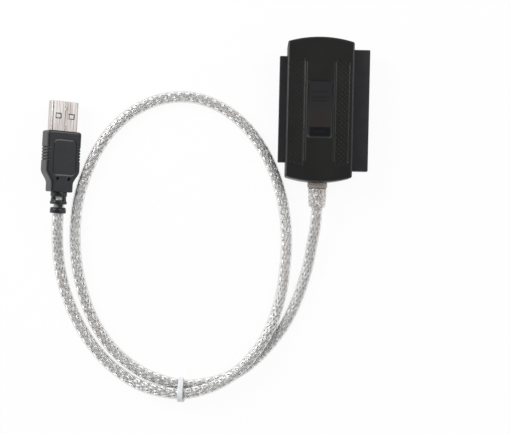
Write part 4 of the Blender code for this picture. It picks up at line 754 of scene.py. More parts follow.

# %% [markdown]
# The housing is black ABS with a fine spark-eroded grain. The sunken label field has a brown-grey
# ground, a darker band below and a few thin bars. Round its rim runs a band of painted light and
# shade: a painted highlight at its lower end and painted shadow at its upper end. An image could
# colour it, but distances in Object coordinates stay sharp at any size: the one from a rounded
# rectangle draws the field and its rim, and plain rectangles draw the rest.

# %% Housing finish
RIM_LINE_INSET = 0.25 * MM
BAND_AT = (0.1 * MM, -9.4 * MM)
BAND_HALF = (4.3 * MM, 1.9 * MM)
BAR_THICKNESS = 0.25 * MM
LABEL_BARS = (
    (-9.3, 2.6, (0.007, 0.012, 0.016)), (7.4, 3.2, (0.005, 0.006, 0.012)),
    (5.0, 3.6, (0.005, 0.005, 0.005)), (3.6, 3.6, (0.006, 0.006, 0.006)),
    (-2.2, 1.8, (0.020, 0.010, 0.008)))
housing = Finish("housing_black", (0.009, 0.010, 0.009), 0.42)
where = housing.place()
across_x, along_y, height_z = housing.axes(where)
over_x = (across_x.size() - (LABEL_HALF[0] - LABEL_CORNER)).at_least(0.0)
over_y = (along_y.size() - (LABEL_HALF[1] - LABEL_CORNER)).at_least(0.0)
from_label = (over_x * over_x + over_y * over_y).math("SQRT") - LABEL_CORNER
on_roof = height_z.step(HOUSING_HEIGHT - 0.6 * MM, HOUSING_HEIGHT - 0.5 * MM)
on_label = from_label.step(0.02 * MM, -0.06 * MM) * on_roof
# A thin band just inside the label's edge carries painted light and shade: a painted highlight at
# its lower end and painted shadow at its upper end.
painted_rim_band = (from_label + RIM_LINE_INSET).size().step(0.24 * MM, 0.10 * MM) * on_roof
ground = housing.mix(along_y.step(9 * MM, -6 * MM), (0.012, 0.0125, 0.0145),
                     (0.019, 0.0155, 0.014))
band = housing.box(across_x, along_y, BAND_AT, BAND_HALF, 0.3 * MM)
label_colour = housing.mix(band, ground, (0.0045, 0.006, 0.007))
for bar_y, bar_half, bar_colour in LABEL_BARS:
    bar = housing.box(across_x, along_y, (0.0, bar_y * MM), (bar_half * MM, BAR_THICKNESS),
                      0.2 * MM)
    label_colour = housing.mix(bar, label_colour, bar_colour)
rim_highlight_and_shadow = housing.mix(along_y.step(-5 * MM, 11.6 * MM), (0.030, 0.031, 0.031),
                         (0.004, 0.004, 0.004))
label_colour = housing.mix(painted_rim_band, label_colour, rim_highlight_and_shadow)
plastic_drift = housing.noise(where, 90.0)
plastic = housing.mix(plastic_drift, (0.0075, 0.0085, 0.0075), (0.0115, 0.0115, 0.0105))
housing.feed("Base Color", housing.mix(on_label, plastic, label_colour))
housing.feed("Roughness", plastic_drift * 0.12 + 0.30 + on_label * (0.06 - band * 0.17))
housing.bump(housing.noise(where, 2600.0, 2.0), 0.35, 0.03 * MM)
print("housing colour:", housing.colour)

# %% Top cover
grip_step = PYRAMID_CELL[0] / 4
row_step = PYRAMID_CELL[1] / 4
across_edges = [side * place for side in (-1, 1) for place in
                (LABEL_HALF[0], RAIL_AT - RAIL_WIDTH / 2, RAIL_AT + RAIL_WIDTH / 2)]
grip_lines = np.arange(GRIP_INNER, GRIP_INNER + GRIP_WIDTH + grip_step / 2, grip_step)
grip_lines = np.append(grip_lines, (GRIP_INNER - SOFT_WALL, GRIP_INNER + GRIP_WIDTH + SOFT_WALL))
roof_x = np.unique(np.concatenate([
    -grip_lines, grip_lines, opening_x,
    sample_lines(-GRIP_INNER, GRIP_INNER, 2 * grip_step, across_edges)[1:-1]]))
far_y = float(bowed_end(0.0, FILLET))
roof_y = np.unique(np.concatenate([
    np.arange(GRIP_BOTTOM, GRIP_TOP + row_step, row_step), opening_y,
    np.linspace(-far_y, GRIP_BOTTOM, 12)[:-1], np.linspace(GRIP_TOP, far_y, 16)[2:],
    sample_lines(-13 * MM, 13 * MM, 26 * MM, (-LABEL_HALF[1], LABEL_HALF[1]))]))
top_cover = make_cover(
    "top_cover_shell", (roof_x, roof_y), HOUSING_HEIGHT, 1, FILLET, roof_relief,
    lambda x, y: PARTING_HEIGHT + np.maximum(PARTING_GAP / 2, opening_reach(x, y)), housing)
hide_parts("top_cover")

# %% Bottom cover
plain_y = np.unique(np.concatenate([np.linspace(-far_y, far_y, 41), opening_y]))
plain_x = np.unique(np.concatenate([np.linspace(-12 * MM, 12 * MM, 17), opening_x]))
bottom_cover = make_cover(
    "bottom_cover_shell", (plain_x, plain_y), 0.0, -1, FILLET / 2,
    lambda x, y: np.zeros_like(x),
    lambda x, y: PARTING_HEIGHT - np.maximum(PARTING_GAP / 2, opening_reach(x, y)), housing)
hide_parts("bottom_cover")

# %% [markdown]
# Where the cable leaves the box, a clear sleeve is moulded round it: a thick collar, a thin
# groove and a tapered body with a round tip. It is a body of revolution, so its profile is a
# list of (distance from its start, radius), turned about the cable's axis. The vinyl is smoky
# and thick, so it is half veil and half surface, and the braid shows through. The collar is
# denser and browner, the groove is painted dark as shade, and small bright spots are painted
# glints of the braid.

# %% Strain relief
SLEEVE_PROFILE = np.array([
    (0.02, 3.4), (0.02, 4.05), (0.10, 4.20), (0.25, 4.25), (1.95, 4.25), (2.1, 4.20), (2.2, 4.08),
    (2.24, 3.85), (2.34, 3.78), (2.66, 3.78), (2.74, 3.84), (2.82, 3.95), (3.0, 4.0),
    (4.6, 3.93), (6.2, 3.84), (7.8, 3.74), (9.2, 3.65), (9.9, 3.55), (10.3, 3.36), (10.52, 3.1),
    (10.6, 2.8), (10.5, 2.5), (10.2, 2.42), (0.02, 2.42)]) * MM
SLEEVE_AROUND = 64
SLEEVE_START = -HALF_LENGTH - 0.05 * MM
COLLAR_END = -32.70 * MM
GROOVE_AT = -33.05 * MM
sleeve = Finish("smoky_sleeve", (0.34, 0.30, 0.275), 0.16)
sleeve_edge = sleeve.node("ShaderNodeLayerWeight", values={"Blend": 0.45}, output="Facing")
sleeve_place = sleeve.place()
cloud = sleeve.noise(sleeve_place, 420.0)
_, behind, _ = sleeve.axes(sleeve_place)
collar = behind.step(COLLAR_END - 0.15 * MM, COLLAR_END)
# The groove is painted nearly black as shade.
groove = (behind - GROOVE_AT).size().step(0.30 * MM, 0.12 * MM)
# Small bright spots are painted glints of the braid; the veil is thicker under them and in the
# groove, so the painted colour shows.
painted_glints = sleeve.noise(sleeve_place, 1100.0, 1.0).step(0.54, 0.64) * (1.0 - collar)
smoke = sleeve.mix(cloud.step(0.30, 0.60), (0.50, 0.45, 0.42), (0.86, 0.81, 0.78))
smoke = sleeve.mix(collar, smoke, (0.46, 0.40, 0.345))
smoke = sleeve.mix(painted_glints, smoke, (0.98, 0.95, 0.94))
sleeve.feed("Base Color", sleeve.mix(groove, smoke, (0.06, 0.05, 0.045)))
sleeve.feed("Roughness", cloud * 0.2 + 0.06)
sleeve.bump(cloud, 0.5, 0.05 * MM)
sleeve.veil(sleeve_edge * 0.40 + cloud * 0.2 + 0.10 + collar * 0.5 + (groove + painted_glints) * 0.45)
sleeve_turn = np.linspace(0, 2 * math.pi, SLEEVE_AROUND, endpoint=False)[None]
sleeve_radius = SLEEVE_PROFILE[:, 1:]
sleeve_points = np.stack([
    sleeve_radius * np.cos(sleeve_turn),
    SLEEVE_START - SLEEVE_PROFILE[:, :1] + 0 * sleeve_turn,
    PARTING_HEIGHT + sleeve_radius * np.sin(sleeve_turn)], axis=-1)
relief_sleeve = new_piece(
    "relief_sleeve", sleeve_points,
    [*grid_faces(len(SLEEVE_PROFILE), SLEEVE_AROUND, close_rows=True)], sleeve, "clear_vinyl")
tidy_normals(relief_sleeve, math.radians(60))
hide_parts("strain_relief")

# %% [markdown]
# The plug's moulding is a rounded rectangle carried along the plug: wide over the shell, drawn in
# through a soft taper, and narrow before the relief. Its points are kept as shares of the
# section, so one formula serves every width. A panel line, two dimples and the finger grooves
# are pressed in along the surface's own direction, and the edge that lies on top is crisper than
# the rest, so that it shows as one thin line. The plug lies rolled on its edge, so it is shaped
# on its own axes first, with +Y to the mouth, and then turned as a whole.

# %% Plug axes
PLUG_AT = np.array([-109.5, -11.05, 6.95]) * MM
PLUG_ROLL = math.radians(34)
PLUG_TURN = math.radians(-1.9)
PLUG_HALF = np.array([7.75, 3.9, 1.6]) * MM
NECK_HALF = np.array([5.1, 3.8, 1.6]) * MM
PLUG_WIDE = 16.6 * MM
PLUG_TAPER = 6.0 * MM
PLUG_LENGTH = 26.0 * MM
PLUG_FRONT_ROUND = 1.0 * MM
PLUG_REAR_ROUND = 0.5 * MM
SHELL_POCKET = np.array([6.1, 2.35, 0.9]) * MM

roll_turn = np.array([(math.cos(PLUG_ROLL), 0, math.sin(PLUG_ROLL)), (0, 1, 0),
                      (-math.sin(PLUG_ROLL), 0, math.cos(PLUG_ROLL))])
flat_turn = np.array([(math.cos(PLUG_TURN), -math.sin(PLUG_TURN), 0),
                      (math.sin(PLUG_TURN), math.cos(PLUG_TURN), 0), (0, 0, 1)])
PLUG_ROTATION = flat_turn @ roll_turn


def at_plug(points):
    """Move points from the plug's own axes to where the plug lies."""
    return np.asarray(points) @ PLUG_ROTATION.T + PLUG_AT


def keep_plug_places(piece):
    """Keep each point's place on the plug's own axes, for patterns that follow the plug."""
    set_attribute(piece, "plug_place", (point_places(piece) - PLUG_AT) @ PLUG_ROTATION)


def section_shares(face_lines, side_steps, corner_steps):
    """Outline of a rounded rectangle as shares u and v of its core and the way a that it faces.

    A point is (u (w - c) + c cos a, v (h - c) + c sin a) for half sizes w and h and corner c.
    """
    sides = np.linspace(-1, 1, side_steps + 1)
    flat = [(np.ones_like(sides), sides), (-face_lines, np.ones_like(face_lines)),
            (-np.ones_like(sides), -sides), (face_lines, -np.ones_like(face_lines))]
    parts = []
    for quarter, (u, v) in enumerate(flat):
        bend = quarter * math.pi / 2 + np.linspace(0, math.pi / 2, corner_steps + 1)[1:-1]
        facing = np.concatenate([np.full(len(u), quarter * math.pi / 2), bend])
        u = np.concatenate([u, np.full(len(bend), u[-1])])
        v = np.concatenate([v, np.full(len(bend), v[-1])])
        parts.append(np.stack([u, v, facing], axis=1))
    return np.concatenate(parts).T


print("plug front in mm:", PLUG_AT / MM)

# %% Plug details
PANEL_HALF = (5.1 * MM, 7.5 * MM)
PANEL_MIDDLE = 11.15 * MM
PANEL_CORNER = 2.0 * MM
PANEL_LINE = 0.38 * MM
PANEL_DEPTH = 0.15 * MM
CRISP_EDGE = 0.9 * MM
GROOVE_FIRST = 7.2 * MM
GROOVE_PITCH = 1.3 * MM
GROOVE_COUNT = 5
GROOVE_HALF = 0.38 * MM
GROOVE_DEPTH = 0.45 * MM
DIMPLES = (2.55 * MM, 20.4 * MM)
DIMPLE_RADIUS = 0.72 * MM
DIMPLE_DEPTH = 0.9 * MM
TAPER_AT_DIMPLES = 1.28


def plug_profile():
    """Rows of the moulding from its flat rear to the pocket round the shell: y, w, h and c."""
    rows = [(-PLUG_LENGTH, 2.6 * MM, 2.6 * MM, 2.5 * MM)]
    for angle in np.linspace(0, math.pi / 2, 5)[:-1]:
        inward = PLUG_REAR_ROUND * (1 - math.sin(angle))
        rows.append((-PLUG_LENGTH + PLUG_REAR_ROUND * (1 - math.cos(angle)),
                     NECK_HALF[0] - inward, NECK_HALF[1] - inward, NECK_HALF[2]))
    grooves = (GROOVE_FIRST - GROOVE_PITCH, GROOVE_FIRST + GROOVE_COUNT * GROOVE_PITCH)
    fine = np.concatenate([
        np.arange(-PLUG_LENGTH + 0.7 * MM, -PLUG_FRONT_ROUND - 0.02 * MM, 0.28 * MM),
        np.arange(-grooves[1], -grooves[0], GROOVE_PITCH / 10),
        -DIMPLES[1] + np.linspace(-1, 1, 13) * DIMPLE_RADIUS * 1.1])
    for along in np.unique(np.round(fine, 6)):
        share = step_down(-along - PLUG_WIDE - PLUG_TAPER / 2, PLUG_TAPER)
        rows.append((along, *(NECK_HALF + (PLUG_HALF - NECK_HALF) * share)))
    for angle in np.linspace(0, math.pi / 2, 6):
        drop = PLUG_FRONT_ROUND * (1 - math.cos(angle))
        rows.append((-PLUG_FRONT_ROUND * (1 - math.sin(angle)), PLUG_HALF[0] - drop,
                     PLUG_HALF[1] - drop * 0.6, PLUG_HALF[2]))
    rows += [(0.0, *SHELL_POCKET), (-1.0 * MM, *SHELL_POCKET)]
    return np.array(rows)


def pressed_in(x, y, facing):
    """Depth pressed into the moulding at each point: panel line and dimples, and side grooves."""
    flat = np.abs(np.sin(facing)) ** 8
    panel = np.abs(round_box_distance(x, y + PANEL_MIDDLE, *PANEL_HALF, PANEL_CORNER))
    depth = PANEL_DEPTH * step_down(panel - PANEL_LINE / 2, PANEL_LINE)
    hole = np.hypot(np.abs(x) - DIMPLES[0], y + DIMPLES[1])
    depth = depth + DIMPLE_DEPTH * step_down(hole - DIMPLE_RADIUS * 0.75, DIMPLE_RADIUS * 0.5)
    nearest = np.clip(np.round((-y - GROOVE_FIRST) / GROOVE_PITCH), 0, GROOVE_COUNT - 1)
    gap = np.abs(-y - GROOVE_FIRST - nearest * GROOVE_PITCH)
    groove = GROOVE_DEPTH * np.clip(1 - gap / GROOVE_HALF, 0, 1) * np.abs(np.cos(facing)) ** 0.6
    return depth * flat + groove


plug_rows = plug_profile()
print("rows of the plug's moulding:", len(plug_rows))

# %% Plug plastic
plug_black = Finish("plug_black", (0.014, 0.0145, 0.0155), 0.34)
plug_where = plug_black.place("plug_place")
plug_drift = plug_black.noise(plug_where, 220.0)
plug_x_at, plug_y_at, _ = plug_black.axes(plug_where)
# The floor of each dimple is painted nearly black as shade, and made rougher.
dimple_shade = plug_black.box(plug_x_at.size(), plug_y_at, (DIMPLES[0], -DIMPLES[1]),
                           (0.50 * MM, 0.50 * MM), 0.12 * MM)
satin = plug_black.mix(plug_drift, (0.0125, 0.0135, 0.0155), (0.0170, 0.0180, 0.0205))
plug_black.feed("Base Color", plug_black.mix(dimple_shade, satin, (0.001, 0.001, 0.001)))
plug_black.feed("Roughness", plug_drift * 0.14 + 0.17 + dimple_shade * 0.4)
plug_black.bump(plug_black.noise(plug_where, 2400.0, 2.0), 0.3, 0.02 * MM)

# %% Plug moulding
core_half = PLUG_HALF[0] - PLUG_HALF[2]
face_lines = np.unique(np.round(np.concatenate([
    np.linspace(-1, 1, 27),
    *[side * (PANEL_HALF[0] + np.linspace(-0.45, 0.45, 7) * MM) / core_half for side in (-1, 1)],
    *[(side * DIMPLES[0] + np.linspace(-1, 1, 13) * DIMPLE_RADIUS) / core_half * TAPER_AT_DIMPLES
      for side in (-1, 1)]]), 4))
face_lines = face_lines[np.abs(face_lines) <= 1]
share_u, share_v, facing = section_shares(face_lines, 8, 6)
along, half_w, half_h, edge = (plug_rows[:, column:column + 1] for column in range(4))
on_top_edge = (share_u == -1) & (share_v == 1)
edge = np.where(on_top_edge, np.minimum(edge, CRISP_EDGE), edge)
plug_x = share_u * (half_w - edge) + edge * np.cos(facing)
plug_z = share_v * (half_h - edge) + edge * np.sin(facing)
plug_y = np.broadcast_to(along, plug_x.shape)
whole = np.isin(np.arange(len(plug_rows)), (0, 1, len(plug_rows) - 3, len(plug_rows) - 2,
                                            len(plug_rows) - 1))
pressed = pressed_in(plug_x, plug_y, facing) * ~whole[:, None]
plug_points = np.stack([plug_x - pressed * np.cos(facing), plug_y,
                        plug_z - pressed * np.sin(facing)], axis=-1)
around = plug_x.shape[1]
plug_faces = [*grid_faces(len(plug_rows), around), np.arange(around),
              (len(plug_rows) - 1) * around + np.arange(around)]
plug_moulding = new_piece("plug_moulding", at_plug(plug_points), plug_faces, plug_black,
                          "plug_plastic")
tidy_normals(plug_moulding, math.radians(40))
keep_plug_places(plug_moulding)
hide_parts("usb_plug_body")

# %% [markdown]
# Behind the moulding the same black plastic becomes the bend relief: a collar and two rings,
# joined by ribs, with windows between that show the cable. A turned sleeve with its window cells
# left out and then thickened is all it takes, since the windows are plain gaps in the grid.

# %% Plug relief
RELIEF_TWIST = math.radians(5)
RELIEF_WALL = 0.50 * MM
NECK_RADIUS = 3.3 * MM
NECK_LENGTH = 1.85 * MM
RELIEF_RINGS = np.array([(25.9, 27.9, 3.5), (29.8, 31.2, 3.58), (33.1, 35.1, 3.4)]) * MM
FIRST_OPENING_TURN = math.radians(18)
FIRST_OPENING_HALF = math.radians(44)
SECOND_RIB_HALF = math.radians(16)
RING_ROUND = 0.32 * MM
RELIEF_AROUND = 128


def relief_rows():
    """Rows along the relief: distance behind the front, radius, and the kind of band after it.

    Band 1 has its windows above and below, band 2 has them at the sides, and band 0 is whole.
    """
    rows = []
    turn = np.linspace(0, math.pi / 2, 4)
    for kind, (start, end, radius) in zip((1, 2, 0), RELIEF_RINGS):
        rows += [(start + RING_ROUND * (1 - math.cos(a)), radius - RING_ROUND * (1 - math.sin(a)),
                  0) for a in turn]
        rows += [(end - RING_ROUND * (1 - math.cos(a)), radius - RING_ROUND * (1 - math.sin(a)),
                  0) for a in turn[::-1]]
        if kind:
            rows += [(end + 0.02 * MM, min(NECK_RADIUS, radius - RING_ROUND), kind),
                     (end + NECK_LENGTH, NECK_RADIUS, 0)]
    return np.array(rows)


def from_upright(turn, middle):
    """How far an angle is from a middle one or from its opposite, in radians."""
    return np.abs(np.mod(turn - middle + math.pi / 2, math.pi) - math.pi / 2)


tail_rows = relief_rows()
tail_turn = np.linspace(0, 2 * math.pi, RELIEF_AROUND, endpoint=False)[None]
tail_radius = tail_rows[:, 1:2]
tail_points = np.stack([tail_radius * np.cos(tail_turn + RELIEF_TWIST),
                        -tail_rows[:, :1] + 0 * tail_turn,
                        tail_radius * np.sin(tail_turn + RELIEF_TWIST)], axis=-1)
tail_quads = grid_faces(len(tail_rows), RELIEF_AROUND)
quad_turn = tail_turn[0][tail_quads[:, 0] % RELIEF_AROUND] + math.pi / RELIEF_AROUND
quad_kind = tail_rows[tail_quads[:, 0] // RELIEF_AROUND, 2]
first_middle = math.pi / 2 + FIRST_OPENING_TURN
is_open = (((quad_kind == 1) & (from_upright(quad_turn, first_middle) < FIRST_OPENING_HALF))
           | ((quad_kind == 2) & (from_upright(quad_turn, math.pi / 2) > SECOND_RIB_HALF)))
plug_relief = new_piece("plug_relief", at_plug(tail_points), [*tail_quads[~is_open]],
                        plug_black, "plug_plastic")
tidy_normals(plug_relief, math.radians(50))
keep_plug_places(plug_relief)
relief_thickness = plug_relief.modifiers.new("wall", "SOLIDIFY")
relief_thickness.thickness = RELIEF_WALL
relief_thickness.offset = -1.0

# %% [markdown]
# The plug's shell, the sockets and the SATA port already have their true shapes in the packed
# model, but sharp edges catch no light. Each gets a copy whose loose triangles are merged, with
# a small live bevel, so its edges shine as stamped steel and moulded nylon do. The shell's steel
# has streaks along the plug, as rolled sheet does, and its seam is tinted darker.

# %% Refined copies
def refined_copy(node, name, finish, bevel):
    """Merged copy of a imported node, with its flat faces joined again and its edges rounded."""
    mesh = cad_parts[node].data.copy()
    mesh.name = name
    mesh.materials.clear()
    mesh.materials.append(finish.material)
    piece = seat(bpy.data.objects.new(name, mesh))
    tidy_normals(piece, math.radians(30), math.radians(0.5))
    rounding = piece.modifiers.new("edges", "BEVEL")
    rounding.width = bevel
    rounding.segments = 2
    rounding.limit_method = "ANGLE"
    rounding.angle_limit = math.radians(35)
    rounding.harden_normals = True
    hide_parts(node)
    return piece


SEAM_AT = (0.0, 4.6 * MM)
SEAM_HALF = (0.05 * MM, 4.4 * MM)
SHELL_TOP = 1.9 * MM
steel = Finish("plated_steel", (0.76, 0.71, 0.68), 0.25, 1.0)
steel_where = steel.place("plug_place")
streaks = steel.noise(steel.stretched(steel_where, (2600.0, 70.0, 2600.0)), 1.0, 4.0, 0.6)
blotch = steel.noise(steel_where, 330.0)
steel_x, steel_y, steel_z = steel.axes(steel_where)
seam = steel.box(steel_x, steel_y, SEAM_AT, SEAM_HALF, 0.14 * MM)
seam = seam * steel_z.step(SHELL_TOP, SHELL_TOP + 0.1 * MM)
brushed = steel.mix(streaks.step(0.34, 0.62), (0.42, 0.365, 0.34), (0.76, 0.72, 0.70))
steel.feed("Base Color", steel.mix(seam, brushed, (0.20, 0.13, 0.10)))
steel.feed("Roughness", streaks * 0.25 + blotch * 0.15 + 0.13)
steel.bump(streaks, 0.25, 0.012 * MM)
plug_shell = refined_copy("usb_shell", "plug_shell", steel, 0.07 * MM)
keep_plug_places(plug_shell)

# %% [markdown]
# White plastic shows through the shell's two windows. It sits a little lower than the sheet, and
# the gap round it is in deep shade, which is the dark outline that makes a USB plug's windows
# read from afar. The insert keeps its imported shape, and that shade is painted on it: nearly
# black round each pad. A small pad stands in each window.

# %% Plug insert
WINDOW_AT = (3.0 * MM, 6.35 * MM)
PAD_HALF = (0.98 * MM, 0.80 * MM, 0.16 * MM)
PAD_HEIGHT = 1.95 * MM
SHADED_HALF = (1.45 * MM, 1.3 * MM)


def rounded_block(half, corner):
    """Block with round edges: its sections shrink by corner (1 - cos a) towards both ends."""
    u, v, facing = section_shares(np.array([-1.0, 0.0, 1.0]), 2, 4)
    turn = np.linspace(0, math.pi / 2, 5)
    rises = np.concatenate([-half[2] + corner * (1 - np.sin(turn[::-1])),
                            half[2] - corner * (1 - np.sin(turn))])[:, None]
    insets = corner * (1 - np.cos(np.concatenate([turn[::-1], turn])))[:, None]
    edge = np.maximum(corner - insets, corner / 50)
    x = u * (half[0] - insets - edge) + edge * np.cos(facing)
    y = v * (half[1] - insets - edge) + edge * np.sin(facing)
    rows, columns = x.shape
    points = np.stack([x, y, rises + 0 * x], axis=-1).reshape(-1, 3)
    faces = [*grid_faces(rows, columns), np.arange(columns)[::-1],
             (rows - 1) * columns + np.arange(columns)]
    return points, faces


def joined(parts):
    """Points and faces of several parts as one."""
    points, faces, first = [], [], 0
    for part_points, part_faces in parts:
        points.append(part_points)
        faces += [np.asarray(face) + first for face in part_faces]
        first += len(part_points)
    return np.concatenate(points), faces


white_insert = Finish("white_insert", (0.80, 0.81, 0.80), 0.4)
insert_x, insert_y, insert_z = white_insert.axes(white_insert.place("plug_place"))
pad_gap = white_insert.box(insert_x.size(), insert_y, WINDOW_AT, SHADED_HALF)
pad_top = white_insert.box(insert_x.size(), insert_y, WINDOW_AT, PAD_HALF[:2], 0.08 * MM)
# Round each pad the insert is painted nearly black as shade.
painted_gap_shade = pad_gap * (1.0 - pad_top) * insert_z.step(1.2 * MM, 1.4 * MM)
white_insert.feed("Base Color", white_insert.mix(painted_gap_shade, (0.80, 0.81, 0.80), (0.01, 0.01, 0.01)))
white_insert.feed("Roughness", white_insert.noise(white_insert.place(), 600.0) * 0.2 + 0.3)
plug_insert = refined_copy("usb_tongue", "plug_insert", white_insert, 0.05 * MM)
keep_plug_places(plug_insert)
pad_points, pad_faces = rounded_block(PAD_HALF, 0.12 * MM)
pads = joined([(pad_points + (side * WINDOW_AT[0], WINDOW_AT[1], PAD_HEIGHT), pad_faces)
               for side in (-1, 1)])
window_pads = new_piece("window_pads", at_plug(pads[0]), pads[1], white_insert, "white_plastic")
tidy_normals(window_pads, math.radians(40))
keep_plug_places(window_pads)

# %% [markdown]
# The two pin sockets are black glass-filled nylon, a shade bluer and lighter than the box. Their
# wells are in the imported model. What the eye expects in each is the contact: two thin leaves
# that grip a pin. They are hundreds of small plates, so each has only six faces.

# %% Sockets and their contacts
socket_nylon = Finish("socket_nylon", (0.024, 0.024, 0.028), 0.42).vary(
    160.0, 0.72, (0.34, 0.52))
IDE40 = dict(face=21.1 * MM, pitch=2.54 * MM, count=20, gap=0.33 * MM, key=9)
IDE44 = dict(face=-17.2 * MM, pitch=2.0 * MM, count=22, gap=0.26 * MM, key=12)
LEAF_HALF = np.array([1.1, 0.22, 0.05]) * MM
LEAF_SETBACK = 1.9 * MM


def contact_leaves(face, pitch, count, gap, key):
    """Two leaves in each well of a two-row socket, above and below the pin's place.

    Wells stand at (k - (count - 1) / 2) pitch along the socket and half a pitch up or down.
    """
    along = SOCKET_CENTRE + (np.arange(count) - (count - 1) / 2) * pitch
    wells = [(y, side * pitch / 2) for side in (-1, 1) for number, y in enumerate(along)
             if side > 0 or number != key]
    y, z = np.array(wells).T
    centres = np.stack([np.full(len(y), face - math.copysign(LEAF_SETBACK, face)), y,
                        PARTING_HEIGHT + z], axis=-1)
    centres = np.concatenate([centres + (0, 0, gap), centres - (0, 0, gap)])
    signs = np.array([(a, b, c) for c in (-1, 1) for a, b in ((-1, -1), (1, -1), (1, 1), (-1, 1))])
    points = (centres[:, None] + signs[None] * LEAF_HALF).reshape(-1, 3)
    box = np.array([(3, 2, 1, 0), (4, 5, 6, 7), (0, 1, 5, 4), (1, 2, 6, 5), (2, 3, 7, 6),
                    (3, 0, 4, 7)])
    return points, [*(box[None] + 8 * np.arange(len(centres))[:, None, None]).reshape(-1, 4)]


contact_gold = Finish("contact_gold", (0.83, 0.62, 0.30), 0.25, 1.0).vary(300.0, 0.85, (0.2, 0.35))
for node, socket in (("ide40_socket", IDE40), ("ide44_socket", IDE44)):
    refined_copy(node, node + "_body", socket_nylon, 0.06 * MM)
    leaves = contact_leaves(**socket)
    new_piece(node + "_contacts", *leaves, contact_gold, "gold").data.shade_flat()
    print(node, len(leaves[1]), "contact faces")
refined_copy("sata_housing", "sata_port", socket_nylon, 0.08 * MM)

# %% [markdown]
# A small nylon tie holds the two turns together. Its band is a flat section with round edges
# carried round both strands: two half circles joined by straights. The head is a rounded block
# on the outer side, and the cut tail stands a little out of it.

# %% Cable tie
TIE_X = -56.5 * MM
TIE_BEFORE_Y = -100 * MM
TIE_HALF_WIDTH = 1.15 * MM
TIE_THICKNESS = 0.7 * MM
TIE_SLACK = 0.3 * MM
TIE_EDGE = 0.22 * MM
HEAD_HALF = np.array([1.65, 2.2, 1.5]) * MM
TAIL_HALF = np.array([1.1, 0.42, 1.4]) * MM
TAIL_SINK = 0.2 * MM
nylon = Finish("natural_nylon", (0.86, 0.88, 0.91), 0.36, Subsurface_Weight=0.15,
               Subsurface_Scale=0.001).vary(700.0, 0.78, (0.28, 0.45))


def strands_at(x):
    """The (y, z) places where the cable crosses one x in the lower bundle, lowest strand first."""
    low = cable_line[:, 1] < TIE_BEFORE_Y
    crosses = np.flatnonzero((cable_line[:-1, 0] - x) * (cable_line[1:, 0] - x) <= 0)
    crosses = crosses[low[crosses]]
    share = (x - cable_line[crosses, 0]) / (cable_line[crosses + 1, 0] - cable_line[crosses, 0])
    step = cable_line[crosses + 1, 1:] - cable_line[crosses, 1:]
    places = cable_line[crosses, 1:] + step * share[:, None]
    return places[np.argsort(places[:, 1])]


lower, upper = strands_at(TIE_X)
print("strands in the tie, y and z in mm:", np.round(lower / MM, 2), np.round(upper / MM, 2))

# %% Band, head and tail of the tie
lean = (upper - lower) / np.linalg.norm(upper - lower)
outside = np.array([-lean[1], lean[0]])
outside = outside if outside[0] < 0 else -outside
half_turn = np.linspace(math.pi / 2, -math.pi / 2, 25)
straight = np.linspace(0, 1, 8)[1:-1, None]
turns = np.concatenate([half_turn, np.full(6, -math.pi / 2), half_turn - math.pi,
                        np.full(6, math.pi / 2)])[:, None]
centres = np.concatenate([np.tile(upper, (25, 1)), upper + (lower - upper) * straight,
                          np.tile(lower, (25, 1)), lower + (upper - lower) * straight])
band_out = np.cos(turns) * lean + np.sin(turns) * outside
reach = CABLE_DIAMETER / 2 + TIE_SLACK + TIE_THICKNESS / 2
u, v, facing = section_shares(np.linspace(-1, 1, 5), 2, 4)
band_x = u * (TIE_HALF_WIDTH - TIE_EDGE) + TIE_EDGE * np.cos(facing)
band_z = v * (TIE_THICKNESS / 2 - TIE_EDGE) + TIE_EDGE * np.sin(facing)
band_yz = centres[:, None] + band_out[:, None] * (reach + band_z)[None, :, None]
band_points = np.concatenate([np.broadcast_to(TIE_X + band_x, band_yz.shape[:2])[..., None],
                              band_yz], axis=-1).reshape(-1, 3)
tie_turn = np.array([(1, 0, 0), (0, lean[0], outside[0]), (0, lean[1], outside[1])])
head_yz = (lower + upper) / 2 + outside * (reach - TIE_THICKNESS / 2 + HEAD_HALF[2]
                                           + TIE_THICKNESS / 2)
head_at = np.array([TIE_X, *head_yz])
head_points, head_faces = rounded_block(HEAD_HALF, 0.8 * MM)
tail_block, tail_faces = rounded_block(TAIL_HALF, 0.15 * MM)
tie_parts = joined([
    (band_points, [*grid_faces(len(turns), len(u), close_rows=True)]),
    (head_points @ tie_turn.T + head_at, head_faces),
    ((tail_block + (0, 0, TAIL_HALF[2] - TAIL_SINK)) @ tie_turn.T + head_at, tail_faces)])
tie_band = new_piece("tie_band", *tie_parts, nylon, "nylon")
tidy_normals(tie_band, math.radians(40))
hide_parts("cable_tie")

# %% [markdown]
# The board and its parts lie inside the closed box, but anyone who opens the model should find
# them finished too. Their shapes stay as packed. The board gets thin pale traces from a cell
# pattern, the chip tinned leads outside its body, and the rest a slight drift of colour.

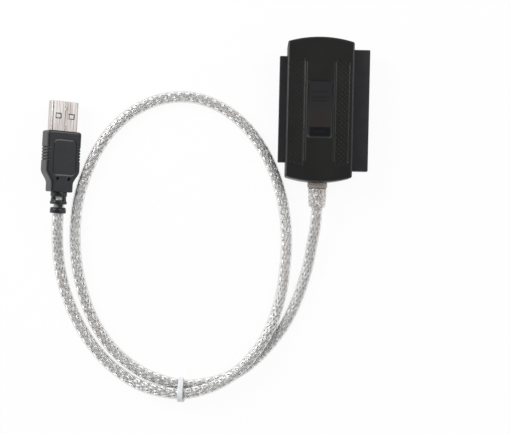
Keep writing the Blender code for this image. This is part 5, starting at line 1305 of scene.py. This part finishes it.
# %% Inner parts
board_green = Finish("board_green", (0.02, 0.12, 0.05), 0.35)
board_where = board_green.place()
cells = board_green.node("ShaderNodeTexVoronoi", {"feature": "DISTANCE_TO_EDGE"},
                         {"Vector": board_where, "Scale": 420.0})
board_green.feed("Base Color", board_green.mix(cells.step(0.10, 0.04), (0.015, 0.10, 0.04),
                                               (0.06, 0.24, 0.10)))
board_green.bump(cells.step(0.10, 0.04), 0.3, 0.03 * MM)
chip_black = Finish("chip_black", (0.018, 0.018, 0.019), 0.5)
chip_x, chip_y, _ = chip_black.axes(chip_black.place())
on_body = chip_black.box(chip_x, chip_y, (0.0, 4.0 * MM), (5.0 * MM, 5.0 * MM), 0.02 * MM)
chip_black.feed("Base Color", chip_black.mix(on_body, (0.72, 0.71, 0.69), (0.018, 0.018, 0.019)))
chip_black.feed("Metallic", 1.0 - on_body)
inner = {
    "circuit_board": board_green,
    "bridge_chip": chip_black,
    "regulator": Finish("regulator_black", (0.02, 0.02, 0.02), 0.5).vary(400.0, 0.7, (0.4, 0.6)),
    "crystal": Finish("crystal_can", (0.72, 0.72, 0.70), 0.3, 1.0).vary(500.0, 0.8, (0.2, 0.4)),
    "capacitor_1": Finish("tantalum", (0.75, 0.42, 0.08), 0.45).vary(500.0, 0.8, (0.35, 0.55)),
    "capacitor_3": Finish("ceramic", (0.45, 0.33, 0.22), 0.5).vary(500.0, 0.8, (0.4, 0.6)),
    "wire_red": Finish("core_red", (0.55, 0.03, 0.03), 0.4).vary(400.0, 0.8, (0.3, 0.5)),
    "wire_white": Finish("core_white", (0.75, 0.75, 0.72), 0.4).vary(400.0, 0.85, (0.3, 0.5)),
    "wire_green": Finish("core_green", (0.03, 0.30, 0.08), 0.4).vary(400.0, 0.8, (0.3, 0.5)),
    "wire_black": Finish("core_black", (0.02, 0.02, 0.02), 0.4).vary(400.0, 0.7, (0.3, 0.5)),
    "wire_shield": tinned,
}
inner["capacitor_2"] = inner["capacitor_1"]
inner["capacitor_4"] = inner["capacitor_3"]
for kind, count in (("sata_contact", 7), ("usb_contact", 4)):
    inner.update({f"{kind}_{number}": contact_gold for number in range(1, count + 1)})
for node, finish in inner.items():
    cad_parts[node].material_slots[0].material = finish.material
print("inner parts:", len(inner))

# %% [markdown]
# The pieces that lie on the cable are gathered in one list.

on_cable = [braid_right, braid_left, cable_core, tie_band, plug_moulding, plug_relief,
            plug_shell, plug_insert, window_pads]
on_cable += [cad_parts[f"usb_contact_{number}"] for number in range(1, 5)]
print("pieces on the cable:", len(on_cable))
